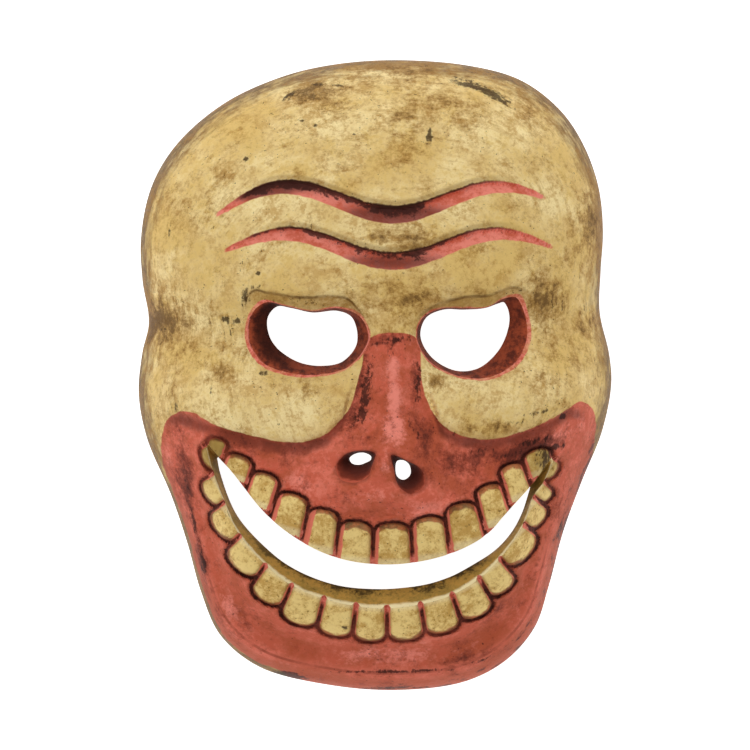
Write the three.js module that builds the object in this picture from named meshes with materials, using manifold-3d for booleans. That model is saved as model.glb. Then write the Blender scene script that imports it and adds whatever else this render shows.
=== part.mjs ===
// A painted skull mask, carved from one block of wood: a hollow, open-backed shell with a domed cranium,
// two wavy wrinkles on the brow, beaked eye holes, a narrow nose with two nostrils, and a grinning mouth
// that is cut right through between a row of upper and a row of lower teeth.
//
// Millimetres. +Z comes out of the face, +Y points to the crown and +X to the right as the face is looked at.
// The origin is the middle of the back rim, which lies flat on z = 0.
import * as THREE from 'three';
import { mergeVertices } from 'three/addons/utils/BufferGeometryUtils.js';
import Module from 'manifold-3d';

const wasm = await Module();
wasm.setup();

// Driving dimensions
const HEIGHT = 260; // crown to chin
const WIDTH = 195; // cheekbone to cheekbone
const DOME = 84; // back rim to the front of the plain dome, before any carving
const SKIRT = 20; // height of the upright band above the back rim
const SKIRT_TUCK = 0.975; // how far the band closes in towards the rim, as a share of the outline
const WALL = 9; // thickness of the shell
const CRANIUM_POWER = 2.3; // roundness of the dome over the brow: 2 is a circle, more is squarer
const JAW_POWER = 2.9; // the same around the jaw, which turns its edge more sharply
const CHIN_DROP = 12; // how much lower the face lies at the chin than at the brow
const FOREHEAD_LIFT = 6; // how far each soft swelling stands over the plain dome
const BROW_LIFT = 3;
const CHEEK_LIFT = 6;
const JAW_LIFT = 8;
const SOCKET_DEPTH = 6; // how far the eye sockets lie below the plain dome
const NOSE_LIFT = 13; // how far the tip of the nose stands over the plain dome
const CHEEK_STEP = 3; // how far the cheeks stand over the upper jaw at their lower edge
const CHEEK_EDGE = 4; // how far that edge is rounded
const CHANNEL_DEPTH = 4; // depth of the channel round the lower teeth, inside the border of the jaw
const UPPER_TOOTH = 17; // length of the longest tooth in each row
const LOWER_TOOTH = 14.5;
const TOOTH_PROUD = 1.8; // how far the teeth stand out of the gums
const TOOTH_ROOT = 3.5; // how far a tooth's block reaches down into the gum
const TOOTH_GAP = 1.8; // groove between two teeth
const TOOTH_BEVEL = 1.2; // softened edge of a tooth
const GUM_ROUND = 0.65; // how round the gum end of a tooth is: 0 is square, 1 a half circle
const WRINKLE_WIDTH = 6.6; // widest part of a brow wrinkle
const WRINKLE_DEPTH = 3; // deepest part of a brow wrinkle
const CUT_PAST = 12; // how far a cutting tool reaches out of the wood on each side
const LIP_OPENING = 0.6; // narrowest gap of the mouth, at its corners

// Fineness of the surface
const AROUND = 72; // facets around the face
const RINGS = 20; // rings from the middle of the face to its widest outline
const HOLLOW_AROUND = 40;
const HOLLOW_RINGS = 10;
const HOLE_POINTS = 26;
const MOUTH_STATIONS = 34;
const WRINKLE_STATIONS = 26;

// The carving keeps its proportions: places are shares of half the width and half the height, from the middle.
const HALF_WIDTH = WIDTH / 2;
const HALF_HEIGHT = HEIGHT / 2;
const MIDLINE = 0.075; // the nose and mouth stand a little right of the middle of the outline

// The outline, counter-clockwise from the right cheekbone
const OUTLINE = [
  [1.0, -0.03], [0.991, 0.067], [0.951, 0.2], [0.955, 0.33], [0.965, 0.46], [0.945, 0.6], [0.881, 0.733],
  [0.785, 0.84], [0.62, 0.935], [0.4, 0.982], [0.07, 1.0], [-0.2, 0.983], [-0.41, 0.943], [-0.64, 0.862],
  [-0.839, 0.733], [-0.945, 0.6], [-0.99, 0.44], [-0.984, 0.3], [-0.957, 0.168], [-0.985, 0.07], [-1.0, -0.06],
  [-0.965, -0.2], [-0.864, -0.378], [-0.795, -0.53], [-0.735, -0.69], [-0.655, -0.825], [-0.49, -0.926],
  [-0.2, -0.983], [0.1, -1.0], [0.38, -0.973], [0.555, -0.905], [0.676, -0.8], [0.735, -0.67], [0.795, -0.5],
  [0.877, -0.333], [0.96, -0.18],
];

// Soft swellings and hollows of the dome: middle, half-size and lift
const SWELLINGS = [
  { part: 'forehead', at: [0.05, 0.52], size: [0.62, 0.36], lift: FOREHEAD_LIFT },
  { part: 'left brow', at: [-0.26, 0.27], size: [0.34, 0.07], lift: BROW_LIFT },
  { part: 'right brow', at: [0.42, 0.29], size: [0.32, 0.07], lift: BROW_LIFT },
  { part: 'left eye socket', at: [-0.28, 0.115], size: [0.36, 0.15], lift: -SOCKET_DEPTH },
  { part: 'right eye socket', at: [0.42, 0.12], size: [0.34, 0.15], lift: -SOCKET_DEPTH },
  { part: 'left cheek', at: [-0.56, -0.07], size: [0.34, 0.17], lift: CHEEK_LIFT },
  { part: 'right cheek', at: [0.68, -0.06], size: [0.32, 0.17], lift: CHEEK_LIFT },
  { part: 'upper jaw', at: [0.06, -0.44], size: [0.6, 0.2], lift: JAW_LIFT },
];

// The channel round the jaw lies at a share of the way to the outline, and is this wide on each side
const CHANNEL = { share: 0.885, half: 0.045 };

// Lower edge of the two cheeks, from left to right, with the nose between them
const CHEEK_LINE = [[-1.02, -0.15], [-0.83, -0.118], [-0.675, -0.157], [-0.54, -0.188], [-0.405, -0.208],
  [-0.297, -0.211], [-0.2, -0.183], [-0.135, -0.132], [-0.07, 0.04], [0.19, 0.04], [0.27, -0.148], [0.352, -0.188],
  [0.473, -0.203], [0.581, -0.188], [0.703, -0.152], [0.82, -0.1], [1.02, -0.14]];

// The nose ridge, from the bridge down: place, half-width and lift, as a share of the tip's, at each height
const NOSE = [
  { v: 0.24, half: 0.1, lift: 0 },
  { v: 0.12, half: 0.11, lift: 4 / 13 },
  { v: -0.1, half: 0.12, lift: 9 / 13 },
  { v: -0.26, half: 0.19, lift: 1 },
  { v: -0.37, half: 0.27, lift: 7 / 13 },
  { v: -0.48, half: 0.3, lift: 0 },
];

// Holes through the shell: the lip on the face and the opening that shows right through, point for point
const LEFT_EYE = {
  lip: [[-0.021, 0.117], [-0.064, 0.19], [-0.161, 0.214], [-0.263, 0.203], [-0.377, 0.219], [-0.479, 0.233],
    [-0.534, 0.181], [-0.538, 0.098], [-0.479, 0.032], [-0.36, 0], [-0.225, -0.002], [-0.106, 0.025]],
  through: [[-0.076, 0.102], [-0.097, 0.181], [-0.157, 0.202], [-0.263, 0.197], [-0.352, 0.211],
    [-0.411, 0.216], [-0.451, 0.181], [-0.443, 0.121], [-0.398, 0.076], [-0.318, 0.04], [-0.225, 0.029],
    [-0.136, 0.043]],
};
const RIGHT_EYE = {
  lip: [[0.653, 0.111], [0.64, 0.2], [0.61, 0.251], [0.547, 0.246], [0.47, 0.214], [0.369, 0.213],
    [0.267, 0.21], [0.195, 0.178], [0.174, 0.117], [0.225, 0.044], [0.339, -0.003], [0.475, -0.013],
    [0.593, 0.029]],
  through: [[0.561, 0.149], [0.564, 0.194], [0.542, 0.229], [0.517, 0.225], [0.462, 0.211], [0.373, 0.206],
    [0.288, 0.206], [0.216, 0.181], [0.191, 0.124], [0.237, 0.057], [0.339, 0.014], [0.436, 0.022],
    [0.521, 0.079]],
};
const LEFT_NOSTRIL = {
  lip: [[0.004, -0.244], [-0.064, -0.237], [-0.127, -0.249], [-0.165, -0.286], [-0.148, -0.327],
    [-0.081, -0.34], [-0.03, -0.321], [-0.008, -0.283]],
  through: [[-0.017, -0.256], [-0.047, -0.245], [-0.085, -0.249], [-0.107, -0.263], [-0.097, -0.278],
    [-0.068, -0.283], [-0.038, -0.276], [-0.018, -0.267]],
};
const RIGHT_NOSTRIL = {
  lip: [[0.216, -0.333], [0.195, -0.295], [0.136, -0.27], [0.066, -0.249], [0.078, -0.298], [0.097, -0.349],
    [0.148, -0.379], [0.199, -0.362]],
  through: [[0.15, -0.308], [0.144, -0.283], [0.121, -0.269], [0.093, -0.271], [0.086, -0.292],
    [0.093, -0.319], [0.117, -0.33], [0.14, -0.322]],
};

// The grin, from the left corner to the right: edges of the two rows of teeth, and of the gap between them
const MOUTH = {
  upperTeeth: [[-0.708, -0.213], [-0.597, -0.31], [-0.466, -0.432], [-0.35, -0.505], [-0.212, -0.562],
    [-0.068, -0.591], [0.102, -0.596], [0.275, -0.573], [0.414, -0.53], [0.489, -0.489], [0.557, -0.429],
    [0.653, -0.352], [0.75, -0.254]],
  lowerTeeth: [[-0.714, -0.219], [-0.684, -0.305], [-0.636, -0.398], [-0.572, -0.502], [-0.462, -0.597],
    [-0.354, -0.662], [-0.22, -0.705], [-0.078, -0.73], [0.051, -0.737], [0.191, -0.724], [0.324, -0.694],
    [0.441, -0.641], [0.528, -0.576], [0.628, -0.466], [0.669, -0.378], [0.72, -0.327], [0.754, -0.262]],
  gapTop: [[-0.661, -0.259], [-0.597, -0.31], [-0.466, -0.432], [-0.35, -0.505], [-0.212, -0.562],
    [-0.068, -0.591], [0.102, -0.596], [0.275, -0.573], [0.414, -0.53], [0.489, -0.489], [0.557, -0.429],
    [0.651, -0.351]],
  gapBottom: [[-0.664, -0.264], [-0.65, -0.314], [-0.579, -0.445], [-0.436, -0.561], [-0.349, -0.608],
    [-0.243, -0.645], [-0.131, -0.668], [0.004, -0.676], [0.103, -0.673], [0.228, -0.659], [0.327, -0.633],
    [0.414, -0.598], [0.507, -0.552], [0.575, -0.496], [0.619, -0.435], [0.653, -0.356]],
};

// The teeth from left to right: widths, which share out the row, and lengths, which the longest tooth sets
const UPPER_TEETH = {
  longest: UPPER_TOOTH,
  widths: [24, 35, 36, 38, 36, 37, 39, 37, 39, 35, 30, 36],
  lengths: [8, 10.5, 13.5, 15.5, 16.5, 16, 16.5, 17, 17, 15.5, 14, 9],
  lean: 0.4, // 0 stands upright, 1 stands square to the row
};
const LOWER_TEETH = {
  longest: LOWER_TOOTH,
  widths: [30, 31, 37, 39, 33, 35, 33, 31, 34, 33, 32, 29, 42, 29, 19, 25],
  lengths: [4, 9, 11, 12.5, 13.5, 14.5, 14, 14, 14, 14, 14, 12.5, 12, 9, 7, 4],
  lean: 0.8,
};

// The brow wrinkles are cosine waves: [middle height, rise, left end, right end], and the wave's half-length
const WRINKLES = [
  { middle: 0.549, rise: 0.044, from: -0.67, to: 0.718 },
  { middle: 0.402, rise: 0.043, from: -0.636, to: 0.75 },
];
const WRINKLE_WAVE = 0.45;

const clamp = THREE.MathUtils.clamp;
const smooth = (value, from, to) => THREE.MathUtils.smoothstep(value, from, to);

/** A curve through places given as shares of the half-sizes. */
function curveThrough(places, closed = false) {
  const points = places.map(([u, v]) => new THREE.Vector3(u * HALF_WIDTH, v * HALF_HEIGHT, 0));
  return new THREE.CatmullRomCurve3(points, closed, 'centripetal');
}

/** Distance from the middle of the face to the outline in any direction, read off the outline curve. */
const outlineRadius = (() => {
  const steps = 720;
  const table = curveThrough(OUTLINE, true)
    .getPoints(steps)
    .map((p) => [Math.atan2(p.y, p.x), Math.hypot(p.x, p.y)])
    .sort((a, b) => a[0] - b[0]);
  return (angle) => {
    const wrapped = Math.atan2(Math.sin(angle), Math.cos(angle));
    const next = table.findIndex(([a]) => a > wrapped);
    const [a1, r1] = table[next < 0 ? 0 : next];
    const [a0, r0] = table[next <= 0 ? table.length - 1 : next - 1];
    const span = (a1 - a0 + 2 * Math.PI) % (2 * Math.PI) || 1;
    const part = (wrapped - a0 + 2 * Math.PI) % (2 * Math.PI);
    return THREE.MathUtils.lerp(r0, r1, clamp(part / span, 0, 1));
  };
})();

/** Lift of the soft swellings at a place, each a bell-shaped mound or hollow. */
function swelling(u, v) {
  return SWELLINGS.reduce((sum, { at, size, lift }) => {
    const du = (u - at[0]) / size[0];
    const dv = (v - at[1]) / size[1];
    return sum + lift * Math.exp(-du * du - dv * dv);
  }, 0);
}

/** Lift of the nose ridge at a place: its profile down the face times a bell across it. */
function noseRidge(u, v) {
  const below = NOSE.findIndex((stage) => stage.v < v);
  if (below <= 0) return 0;
  const [high, low] = [NOSE[below - 1], NOSE[below]];
  const part = smooth(high.v - v, 0, high.v - low.v);
  const half = THREE.MathUtils.lerp(high.half, low.half, part);
  const lift = NOSE_LIFT * THREE.MathUtils.lerp(high.lift, low.lift, part);
  return lift * Math.exp(-(((u - MIDLINE) / half) ** 2));
}

/** Height of the cheeks over the upper jaw: a rounded step along their lower edge, which dies out at the eyes. */
function cheekStep(u, v) {
  const next = CHEEK_LINE.findIndex(([edge]) => edge > u);
  if (next <= 0) return 0;
  const [[u0, v0], [u1, v1]] = [CHEEK_LINE[next - 1], CHEEK_LINE[next]];
  const above = (v - THREE.MathUtils.lerp(v0, v1, (u - u0) / (u1 - u0))) * HALF_HEIGHT;
  return CHEEK_STEP * smooth(above, -CHEEK_EDGE, CHEEK_EDGE) * (1 - smooth(v, -0.12, 0.05));
}

/** Height of the jaw channel, which is a hollow: bell-shaped across, and fading out up the sides of the face. */
function jawChannel(share, v) {
  const across = (share - CHANNEL.share) / CHANNEL.half;
  return -CHANNEL_DEPTH * Math.exp(-across * across) * smooth(-v, 0.25, 0.5);
}

/** Height of a superellipse dome over a place that lies at a share of the way to its edge. */
function domeHeight(share, v, top) {
  const power = THREE.MathUtils.lerp(JAW_POWER, CRANIUM_POWER, smooth(v, -0.55, 0.1));
  const rise = top - SKIRT - CHIN_DROP * smooth(-v, 0.35, 1);
  return SKIRT + rise * (1 - clamp(share, 0, 1) ** power) ** (1 / power);
}

/** How much of the carving shows: all of it on the face, fading to none at the upright band. */
const carvingShare = (share) => 1 - smooth(share, 0.8, 1);

/** Height of the carved face over a place on the plan. */
function faceHeight(x, y) {
  const [u, v] = [x / HALF_WIDTH, y / HALF_HEIGHT];
  const share = Math.hypot(x, y) / outlineRadius(Math.atan2(y, x));
  const carving = swelling(u, v) + noseRidge(u, v) + cheekStep(u, v);
  return domeHeight(share, v, DOME) + carvingShare(share) * carving + jawChannel(share, v);
}

/** Height of the hollow behind the face: the same dome a wall thinner, with softer swellings. */
const HOLLOW_SWELLING = 0.85;
const HOLLOW_NOSE = 0.45;
function hollowHeight(x, y) {
  const [u, v] = [x / HALF_WIDTH, y / HALF_HEIGHT];
  const share = Math.hypot(x, y) / (outlineRadius(Math.atan2(y, x)) - WALL);
  const carving = HOLLOW_SWELLING * swelling(u, v) + HOLLOW_NOSE * noseRidge(u, v);
  return domeHeight(share, v, DOME - WALL) + carvingShare(share) * carving;
}

/** The upright direction of the face at a place. */
function faceNormal(x, y) {
  const step = 1.5;
  const dx = (faceHeight(x + step, y) - faceHeight(x - step, y)) / (2 * step);
  const dy = (faceHeight(x, y + step) - faceHeight(x, y - step)) / (2 * step);
  return new THREE.Vector3(-dx, -dy, 1).normalize();
}

/** A closed body from a stack of rings with equal numbers of points, closed at each end by a fan. */
function loft(rings) {
  const count = rings[0].length;
  const middle = (ring) => ring.reduce((sum, p) => sum.add(p), new THREE.Vector3()).divideScalar(count);
  const points = [...rings.flat(), middle(rings[0]), middle(rings.at(-1))];
  const faces = [];
  rings.slice(1).forEach((_, row) => {
    for (let i = 0; i < count; i++) {
      const [a, b] = [row * count + i, row * count + ((i + 1) % count)];
      faces.push(a, b, b + count, a, b + count, a + count);
    }
  });
  const lastRow = (rings.length - 1) * count;
  for (let i = 0; i < count; i++) {
    const next = (i + 1) % count;
    faces.push(next, i, points.length - 2);
    faces.push(lastRow + i, lastRow + next, points.length - 1);
  }
  return new THREE.BufferGeometry().setFromPoints(points).setIndex(faces);
}

/** A three.js geometry as a solid that can be joined and cut, turned right side out if its rings ran backwards. */
function solidOf(geometry) {
  const bare = geometry.clone();
  bare.deleteAttribute('normal');
  bare.deleteAttribute('uv');
  const merged = mergeVertices(bare, 1e-3);
  const triVerts = new Uint32Array(merged.index.array);
  const make = () =>
    new wasm.Manifold(new wasm.Mesh({ numProp: 3, vertProperties: merged.attributes.position.array, triVerts }));
  const solid = make();
  if (solid.volume() > 0) return solid;
  for (let i = 0; i < triVerts.length; i += 3) {
    [triVerts[i + 1], triVerts[i + 2]] = [triVerts[i + 2], triVerts[i + 1]];
  }
  return make();
}

/** Rings of a dome, from its foot below or on the rim up to the middle of the face. */
function domeRings(around, rings, radiusAt, heightAt, feet) {
  const angles = Array.from({ length: around }, (_, i) => (i / around) * 2 * Math.PI);
  const ring = (share, z) =>
    angles.map((angle) => {
      const [x, y] = [Math.cos(angle), Math.sin(angle)].map((c) => c * share * radiusAt(angle));
      return new THREE.Vector3(x, y, z ?? heightAt(x, y));
    });
  const bands = feet.map(([share, z]) => ring(share, z));
  for (let i = rings; i > 0; i--) bands.push(ring(Math.sin((i / rings) * (Math.PI / 2)), i === rings ? SKIRT : undefined));
  return bands;
}

/** The outside of the mask, solid down to the back rim. */
function outside() {
  return loft(domeRings(AROUND, RINGS, outlineRadius, faceHeight, [[SKIRT_TUCK, 0]]));
}

/** The hollow that the wearer's face fills, reaching out through the open back. */
function hollow() {
  const radius = (angle) => outlineRadius(angle) - WALL;
  const feet = [[SKIRT_TUCK, -CUT_PAST], [SKIRT_TUCK, 0]];
  return loft(domeRings(HOLLOW_AROUND, HOLLOW_RINGS, radius, hollowHeight, feet));
}

/** A cutter for a hole: it narrows from the lip on the face to the opening at the back, then runs on straight. */
function holeCutter({ lip, through }) {
  const lips = curveThrough(lip, true).getPoints(HOLE_POINTS).slice(0, -1);
  const backs = curveThrough(through, true).getPoints(HOLE_POINTS).slice(0, -1);
  const at = (points, height, shift) => points.map((p) => new THREE.Vector3(p.x, p.y, height(p.x, p.y) + shift));
  return loft([
    at(backs, hollowHeight, -CUT_PAST),
    at(backs, hollowHeight, 0),
    at(lips, faceHeight, 0),
    at(lips, faceHeight, CUT_PAST),
  ]);
}

/** The cutter for the mouth: an eight-sided section carried from one corner of the grin to the other. */
function mouthCutter() {
  const [top, bottom, gapTop, gapBottom] = [MOUTH.upperTeeth, MOUTH.lowerTeeth, MOUTH.gapTop, MOUTH.gapBottom].map(
    (edge) => curveThrough(edge).getSpacedPoints(MOUTH_STATIONS),
  );
  const over = (p, height, shift) => new THREE.Vector3(p.x, p.y, height(p.x, p.y) + shift);
  return loft(
    top.map((_, i) => {
      const [above, below] = apart(top[i], bottom[i], LIP_OPENING);
      const [gapAbove, gapBelow] = apart(gapTop[i], gapBottom[i], LIP_OPENING);
      return [
        over(above, faceHeight, CUT_PAST),
        over(above, faceHeight, 0),
        over(gapAbove, hollowHeight, 0),
        over(gapAbove, hollowHeight, -CUT_PAST),
        over(gapBelow, hollowHeight, -CUT_PAST),
        over(gapBelow, hollowHeight, 0),
        over(below, faceHeight, 0),
        over(below, faceHeight, CUT_PAST),
      ];
    }),
  );
}

/** Two points moved apart, where they are closer than the least distance. */
function apart(a, b, least) {
  const between = b.clone().sub(a);
  const missing = Math.max(0, least - between.length()) / 2;
  const way = between.length() > 1e-6 ? between.normalize() : new THREE.Vector3(0, -1, 0);
  return [a.clone().addScaledVector(way, -missing), b.clone().addScaledVector(way, missing)];
}

/** The cutter for one brow wrinkle: a slanted notch, steep above and shallow below, that dies out at both ends. */
function wrinkleCutter({ middle, rise, from, to }) {
  const rings = [];
  for (let i = 0; i <= WRINKLE_STATIONS; i++) {
    const part = i / WRINKLE_STATIONS;
    const u = THREE.MathUtils.lerp(from, to, part);
    const v = middle - rise * Math.cos(((u - MIDLINE) / WRINKLE_WAVE) * Math.PI);
    const swell = Math.max(0.12, Math.sin(part * Math.PI) ** 0.6);
    const [half, depth] = [(WRINKLE_WIDTH / 2) * swell, WRINKLE_DEPTH * swell];
    const [x, y] = [u * HALF_WIDTH, v * HALF_HEIGHT];
    const over = (across, lift) => new THREE.Vector3(x, y + across, faceHeight(x, y + across) + lift);
    const floorAt = 0.55 * half; // the deepest line lies above the middle
    rings.push([over(half, 0), over(floorAt, -depth), over(-half, 0), over(-half, CUT_PAST), over(half, CUT_PAST)]);
  }
  return loft(rings);
}

/** A tooth's block: a bevelled slab with a round gum end, standing on the face and leaning with its row. */
function toothBlock(edge, width, length, away) {
  const half = Math.max(1, (width - TOOTH_GAP) / 2 - TOOTH_BEVEL);
  const shape = new THREE.Shape();
  const crown = GUM_ROUND * half;
  const straight = Math.max(0.5, length - TOOTH_BEVEL - crown);
  shape.moveTo(-half, -TOOTH_GAP);
  shape.lineTo(half, -TOOTH_GAP);
  shape.lineTo(half, straight);
  shape.absellipse(0, straight, half, crown, 0, Math.PI, false);
  const geometry = new THREE.ExtrudeGeometry(shape, {
    depth: TOOTH_ROOT + TOOTH_PROUD - TOOTH_BEVEL,
    bevelSize: TOOTH_BEVEL,
    bevelThickness: TOOTH_BEVEL,
    bevelSegments: 1,
    curveSegments: 4,
  });
  const mid = edge.clone().addScaledVector(away, length / 2);
  const up = faceNormal(mid.x, mid.y);
  const along = away.clone().addScaledVector(up, -away.dot(up)).normalize();
  const across = new THREE.Vector3().crossVectors(along, up);
  const seat = new THREE.Vector3(mid.x, mid.y, faceHeight(mid.x, mid.y));
  geometry.translate(0, -length / 2, -TOOTH_ROOT);
  return geometry.applyMatrix4(new THREE.Matrix4().makeBasis(across, along, up).setPosition(seat));
}

/** The blocks of one row of teeth, standing side by side along an edge of the mouth. */
function toothRow(edge, { longest, widths, lengths, lean }, side) {
  const curve = curveThrough(edge);
  const shareOf = curve.getLength() / widths.reduce((sum, w) => sum + w, 0);
  let start = 0;
  return widths.map((share, i) => {
    const width = share * shareOf;
    const part = (start + width / 2) / curve.getLength();
    start += width;
    const tangent = curve.getTangentAt(part);
    const square = new THREE.Vector3(-tangent.y, tangent.x, 0).multiplyScalar(side);
    const away = new THREE.Vector3(0, side, 0).lerp(square, lean).normalize();
    const length = (longest * lengths[i]) / Math.max(...lengths);
    return toothBlock(curve.getPointAt(part), width * Math.abs(away.dot(square)), length, away);
  });
}

/** The whole mask as one solid. */
function carvedMask() {
  const add = (solid, geometry) => solid.add(solidOf(geometry));
  const cut = (solid, geometry) => solid.subtract(solidOf(geometry));
  const teeth = [...toothRow(MOUTH.upperTeeth, UPPER_TEETH, 1), ...toothRow(MOUTH.lowerTeeth, LOWER_TEETH, -1)];
  const cutters = [
    ...[LEFT_EYE, RIGHT_EYE, LEFT_NOSTRIL, RIGHT_NOSTRIL].map(holeCutter),
    mouthCutter(),
    ...WRINKLES.map(wrinkleCutter),
  ];
  const shell = cut(solidOf(outside()), hollow());
  return withoutChips(cutters.reduce(cut, teeth.reduce(add, shell)));
}

/** The largest body of a solid: what is left when the loose chips of the cutting fall away. */
function withoutChips(solid) {
  return solid.decompose().reduce((largest, body) => (body.volume() > largest.volume() ? body : largest));
}

/** A solid as three.js geometry. */
function geometryOf(solid) {
  const { vertProperties, triVerts } = solid.getMesh();
  const geometry = new THREE.BufferGeometry();
  geometry.setAttribute('position', new THREE.BufferAttribute(vertProperties, 3));
  geometry.setIndex(new THREE.BufferAttribute(triVerts, 1));
  return geometry.toNonIndexed();
}

const paintedWood = new THREE.MeshStandardMaterial({ color: 0xc9ad6b, roughness: 0.55, metalness: 0 });

const mask = new THREE.Mesh(geometryOf(carvedMask()), paintedWood);
mask.name = 'mask';
mask.geometry.computeVertexNormals();

const group = new THREE.Group();
group.add(mask);

export default group;
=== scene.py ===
"""A painted wooden skull mask, lying on its back rim on a pale floor and seen from straight above.

Lengths are in millimetres until a mesh is made. +Z comes out of the face and +Y points to the crown. Places
on the face are shares (u, v) of half its width and half its height, from the middle of its outline.
"""
import math

import bpy
import numpy as np
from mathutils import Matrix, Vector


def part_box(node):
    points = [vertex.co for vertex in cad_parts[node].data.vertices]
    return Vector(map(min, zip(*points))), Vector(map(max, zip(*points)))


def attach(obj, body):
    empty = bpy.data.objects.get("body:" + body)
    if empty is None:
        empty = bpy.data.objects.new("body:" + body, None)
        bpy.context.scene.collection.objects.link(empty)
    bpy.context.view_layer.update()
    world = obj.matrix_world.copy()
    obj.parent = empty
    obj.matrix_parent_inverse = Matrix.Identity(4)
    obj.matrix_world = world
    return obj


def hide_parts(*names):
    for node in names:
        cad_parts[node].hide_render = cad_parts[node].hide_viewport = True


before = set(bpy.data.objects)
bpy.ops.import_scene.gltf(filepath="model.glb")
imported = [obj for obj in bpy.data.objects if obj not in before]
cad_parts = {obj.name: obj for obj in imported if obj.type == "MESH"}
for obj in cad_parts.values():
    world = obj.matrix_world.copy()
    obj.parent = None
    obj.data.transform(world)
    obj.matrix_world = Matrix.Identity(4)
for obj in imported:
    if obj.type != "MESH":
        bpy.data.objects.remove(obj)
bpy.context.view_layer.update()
MM = 0.001

# Sizes of the carved form
LOW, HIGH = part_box("mask")
HALF_WIDTH = (HIGH.x - LOW.x) / 2 / MM
HALF_HEIGHT = (HIGH.y - LOW.y) / 2 / MM
DOME = 84  # back rim to the front of the plain dome
SKIRT = 20  # height of the upright band above the back rim
SKIRT_TUCK = 0.975  # how far that band closes in towards the rim
WALL = 9
CRANIUM_POWER = 2.3  # roundness of the dome over the brow: 2 is a circle, more is squarer
JAW_POWER = 2.9
JAW_TO_CRANIUM = (-0.55, 0.1)  # heights between which the one passes into the other
CHIN_DROP = 12  # how much lower the face lies at the chin than at the brow
CHIN_FALL = (0.35, 1)  # how far below the middle that drop starts and ends
CARVING_FADE = (0.8, 1)  # shares of the way out between which the carving fades
CHEEK_STEP = 3  # how far the cheeks stand over the upper jaw
CHEEK_EDGE = 4
CHEEK_FADE = (-0.12, 0.05)  # heights between which that step dies out
CHANNEL_DEPTH = 4  # the channel round the lower teeth
CHANNEL_SHARE = 0.885
CHANNEL_HALF = 0.045
CHANNEL_FADE = (0.25, 0.5)  # how far below the middle it starts and is whole
HOLLOW_SWELLING = 0.85
HOLLOW_NOSE = 0.45
GOUGE_DEPTH = 0.9  # of the marks in the hollow
MIDLINE = 0.075  # the nose and mouth stand a little right of the middle

# Sizes of the fine carving
RIM_ROUND = 1.6  # worn edges of the back rim
LIP_ROUND = 2.2  # width of the worn edge of each hole
LIP_DROP = 0.9
TOOTH_PROUD = 2.0
TOOTH_GAP = 1.7
TOOTH_PILLOW = 2.2  # how far from its edge a tooth is rounded
TOOTH_SQUARE = 2.3  # how square the corners of its gum end are: 2 is an ellipse
GUM_ROUND = 0.65  # height of that end, as a share of the tooth's half-width
TOOTH_PAST_EDGE = 1.6  # how far a tooth reaches past the edge of the mouth
GROOVE_DEPTH = 1.5
GROOVE_HALF = 0.8
GUM_ROLL = 1.3  # the raised roll of gum round each tooth
ROLL_PLACE = 2.7  # how far from the tooth it lies
ROLL_HALF = 1.3
WRINKLE_WIDTH = 6.8
WRINKLE_DEPTH = 2.6
WRINKLE_STEEP = 0.24  # share of the width in which it goes down
LID_DEPTH = 1.5
LID_REACH = 11  # how far below its crease a lid is recessed
CREASE_DEPTH = 1.0  # the crease under the cheeks
CREASE_PLACE = 1.5  # how far below their edge it lies
CREASE_HALF = 1.7
CREASE_FADE = (-0.14, -0.02)  # heights between which it dies out
BORDER_HEIGHT = 0.8  # the raised border of the jaw
BORDER_SHARE = 0.957
BORDER_HALF = 0.014
BORDER_FADE = (0.3, 0.6)  # how far below the middle it starts and is whole
UNEVENNESS = 0.25  # of a surface shaped by hand
FAR_OUT = -30.0  # stands for the depth where no tooth, wrinkle or lid is near
CUT_PAST = 12  # how far a cutting tool reaches out of the wood
LIP_OPENING = 0.6

# Fineness of the meshes
AROUND = 600
GRIN_CROWDING = 0.4  # how much closer together the facets stand at the grin
COARSER = 4  # the middle of the face and the hollow have this many times fewer facets around
FACE_RINGS = 150
FACE_MIDDLE = 0.2  # share of the way out that is coarser around
SKIRT_RINGS = 8
HOLLOW_RINGS = 34
PROFILE_STEPS = 4000  # steps along the dome's profile, to measure its length
CURVE_STEPS = 10  # in each span of a curve
EDGE_STEPS = 600  # points on an edge of the mouth, on which the teeth are set out
TANGENT_STEPS = 6  # how many of them ahead and back give the way that the edge runs
MOUTH_POINTS = 120  # on each edge, where distance to the mouth is measured
MOUTH_STATIONS = 150
WALL_RINGS = 7
SHARP_ANGLE = 42  # degrees between facets from which an edge stays sharp

# Numbers of the mask's paints, in the order of its materials
OUTSIDE, INSIDE, EYE, NOSTRIL, MOUTH = range(5)

OUTLINE = [
    (1.0, -0.03), (0.991, 0.067), (0.951, 0.2), (0.955, 0.33), (0.965, 0.46), (0.945, 0.6), (0.881, 0.733),
    (0.785, 0.84), (0.62, 0.935), (0.4, 0.982), (0.07, 1.0), (-0.2, 0.983), (-0.41, 0.943), (-0.64, 0.862),
    (-0.839, 0.733), (-0.945, 0.6), (-0.99, 0.44), (-0.984, 0.3), (-0.957, 0.168), (-0.985, 0.07),
    (-1.0, -0.06), (-0.965, -0.2), (-0.864, -0.378), (-0.795, -0.53), (-0.735, -0.69), (-0.655, -0.825),
    (-0.49, -0.926), (-0.2, -0.983), (0.1, -1.0), (0.38, -0.973), (0.555, -0.905), (0.676, -0.8),
    (0.735, -0.67), (0.795, -0.5), (0.877, -0.333), (0.96, -0.18),
]

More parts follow.
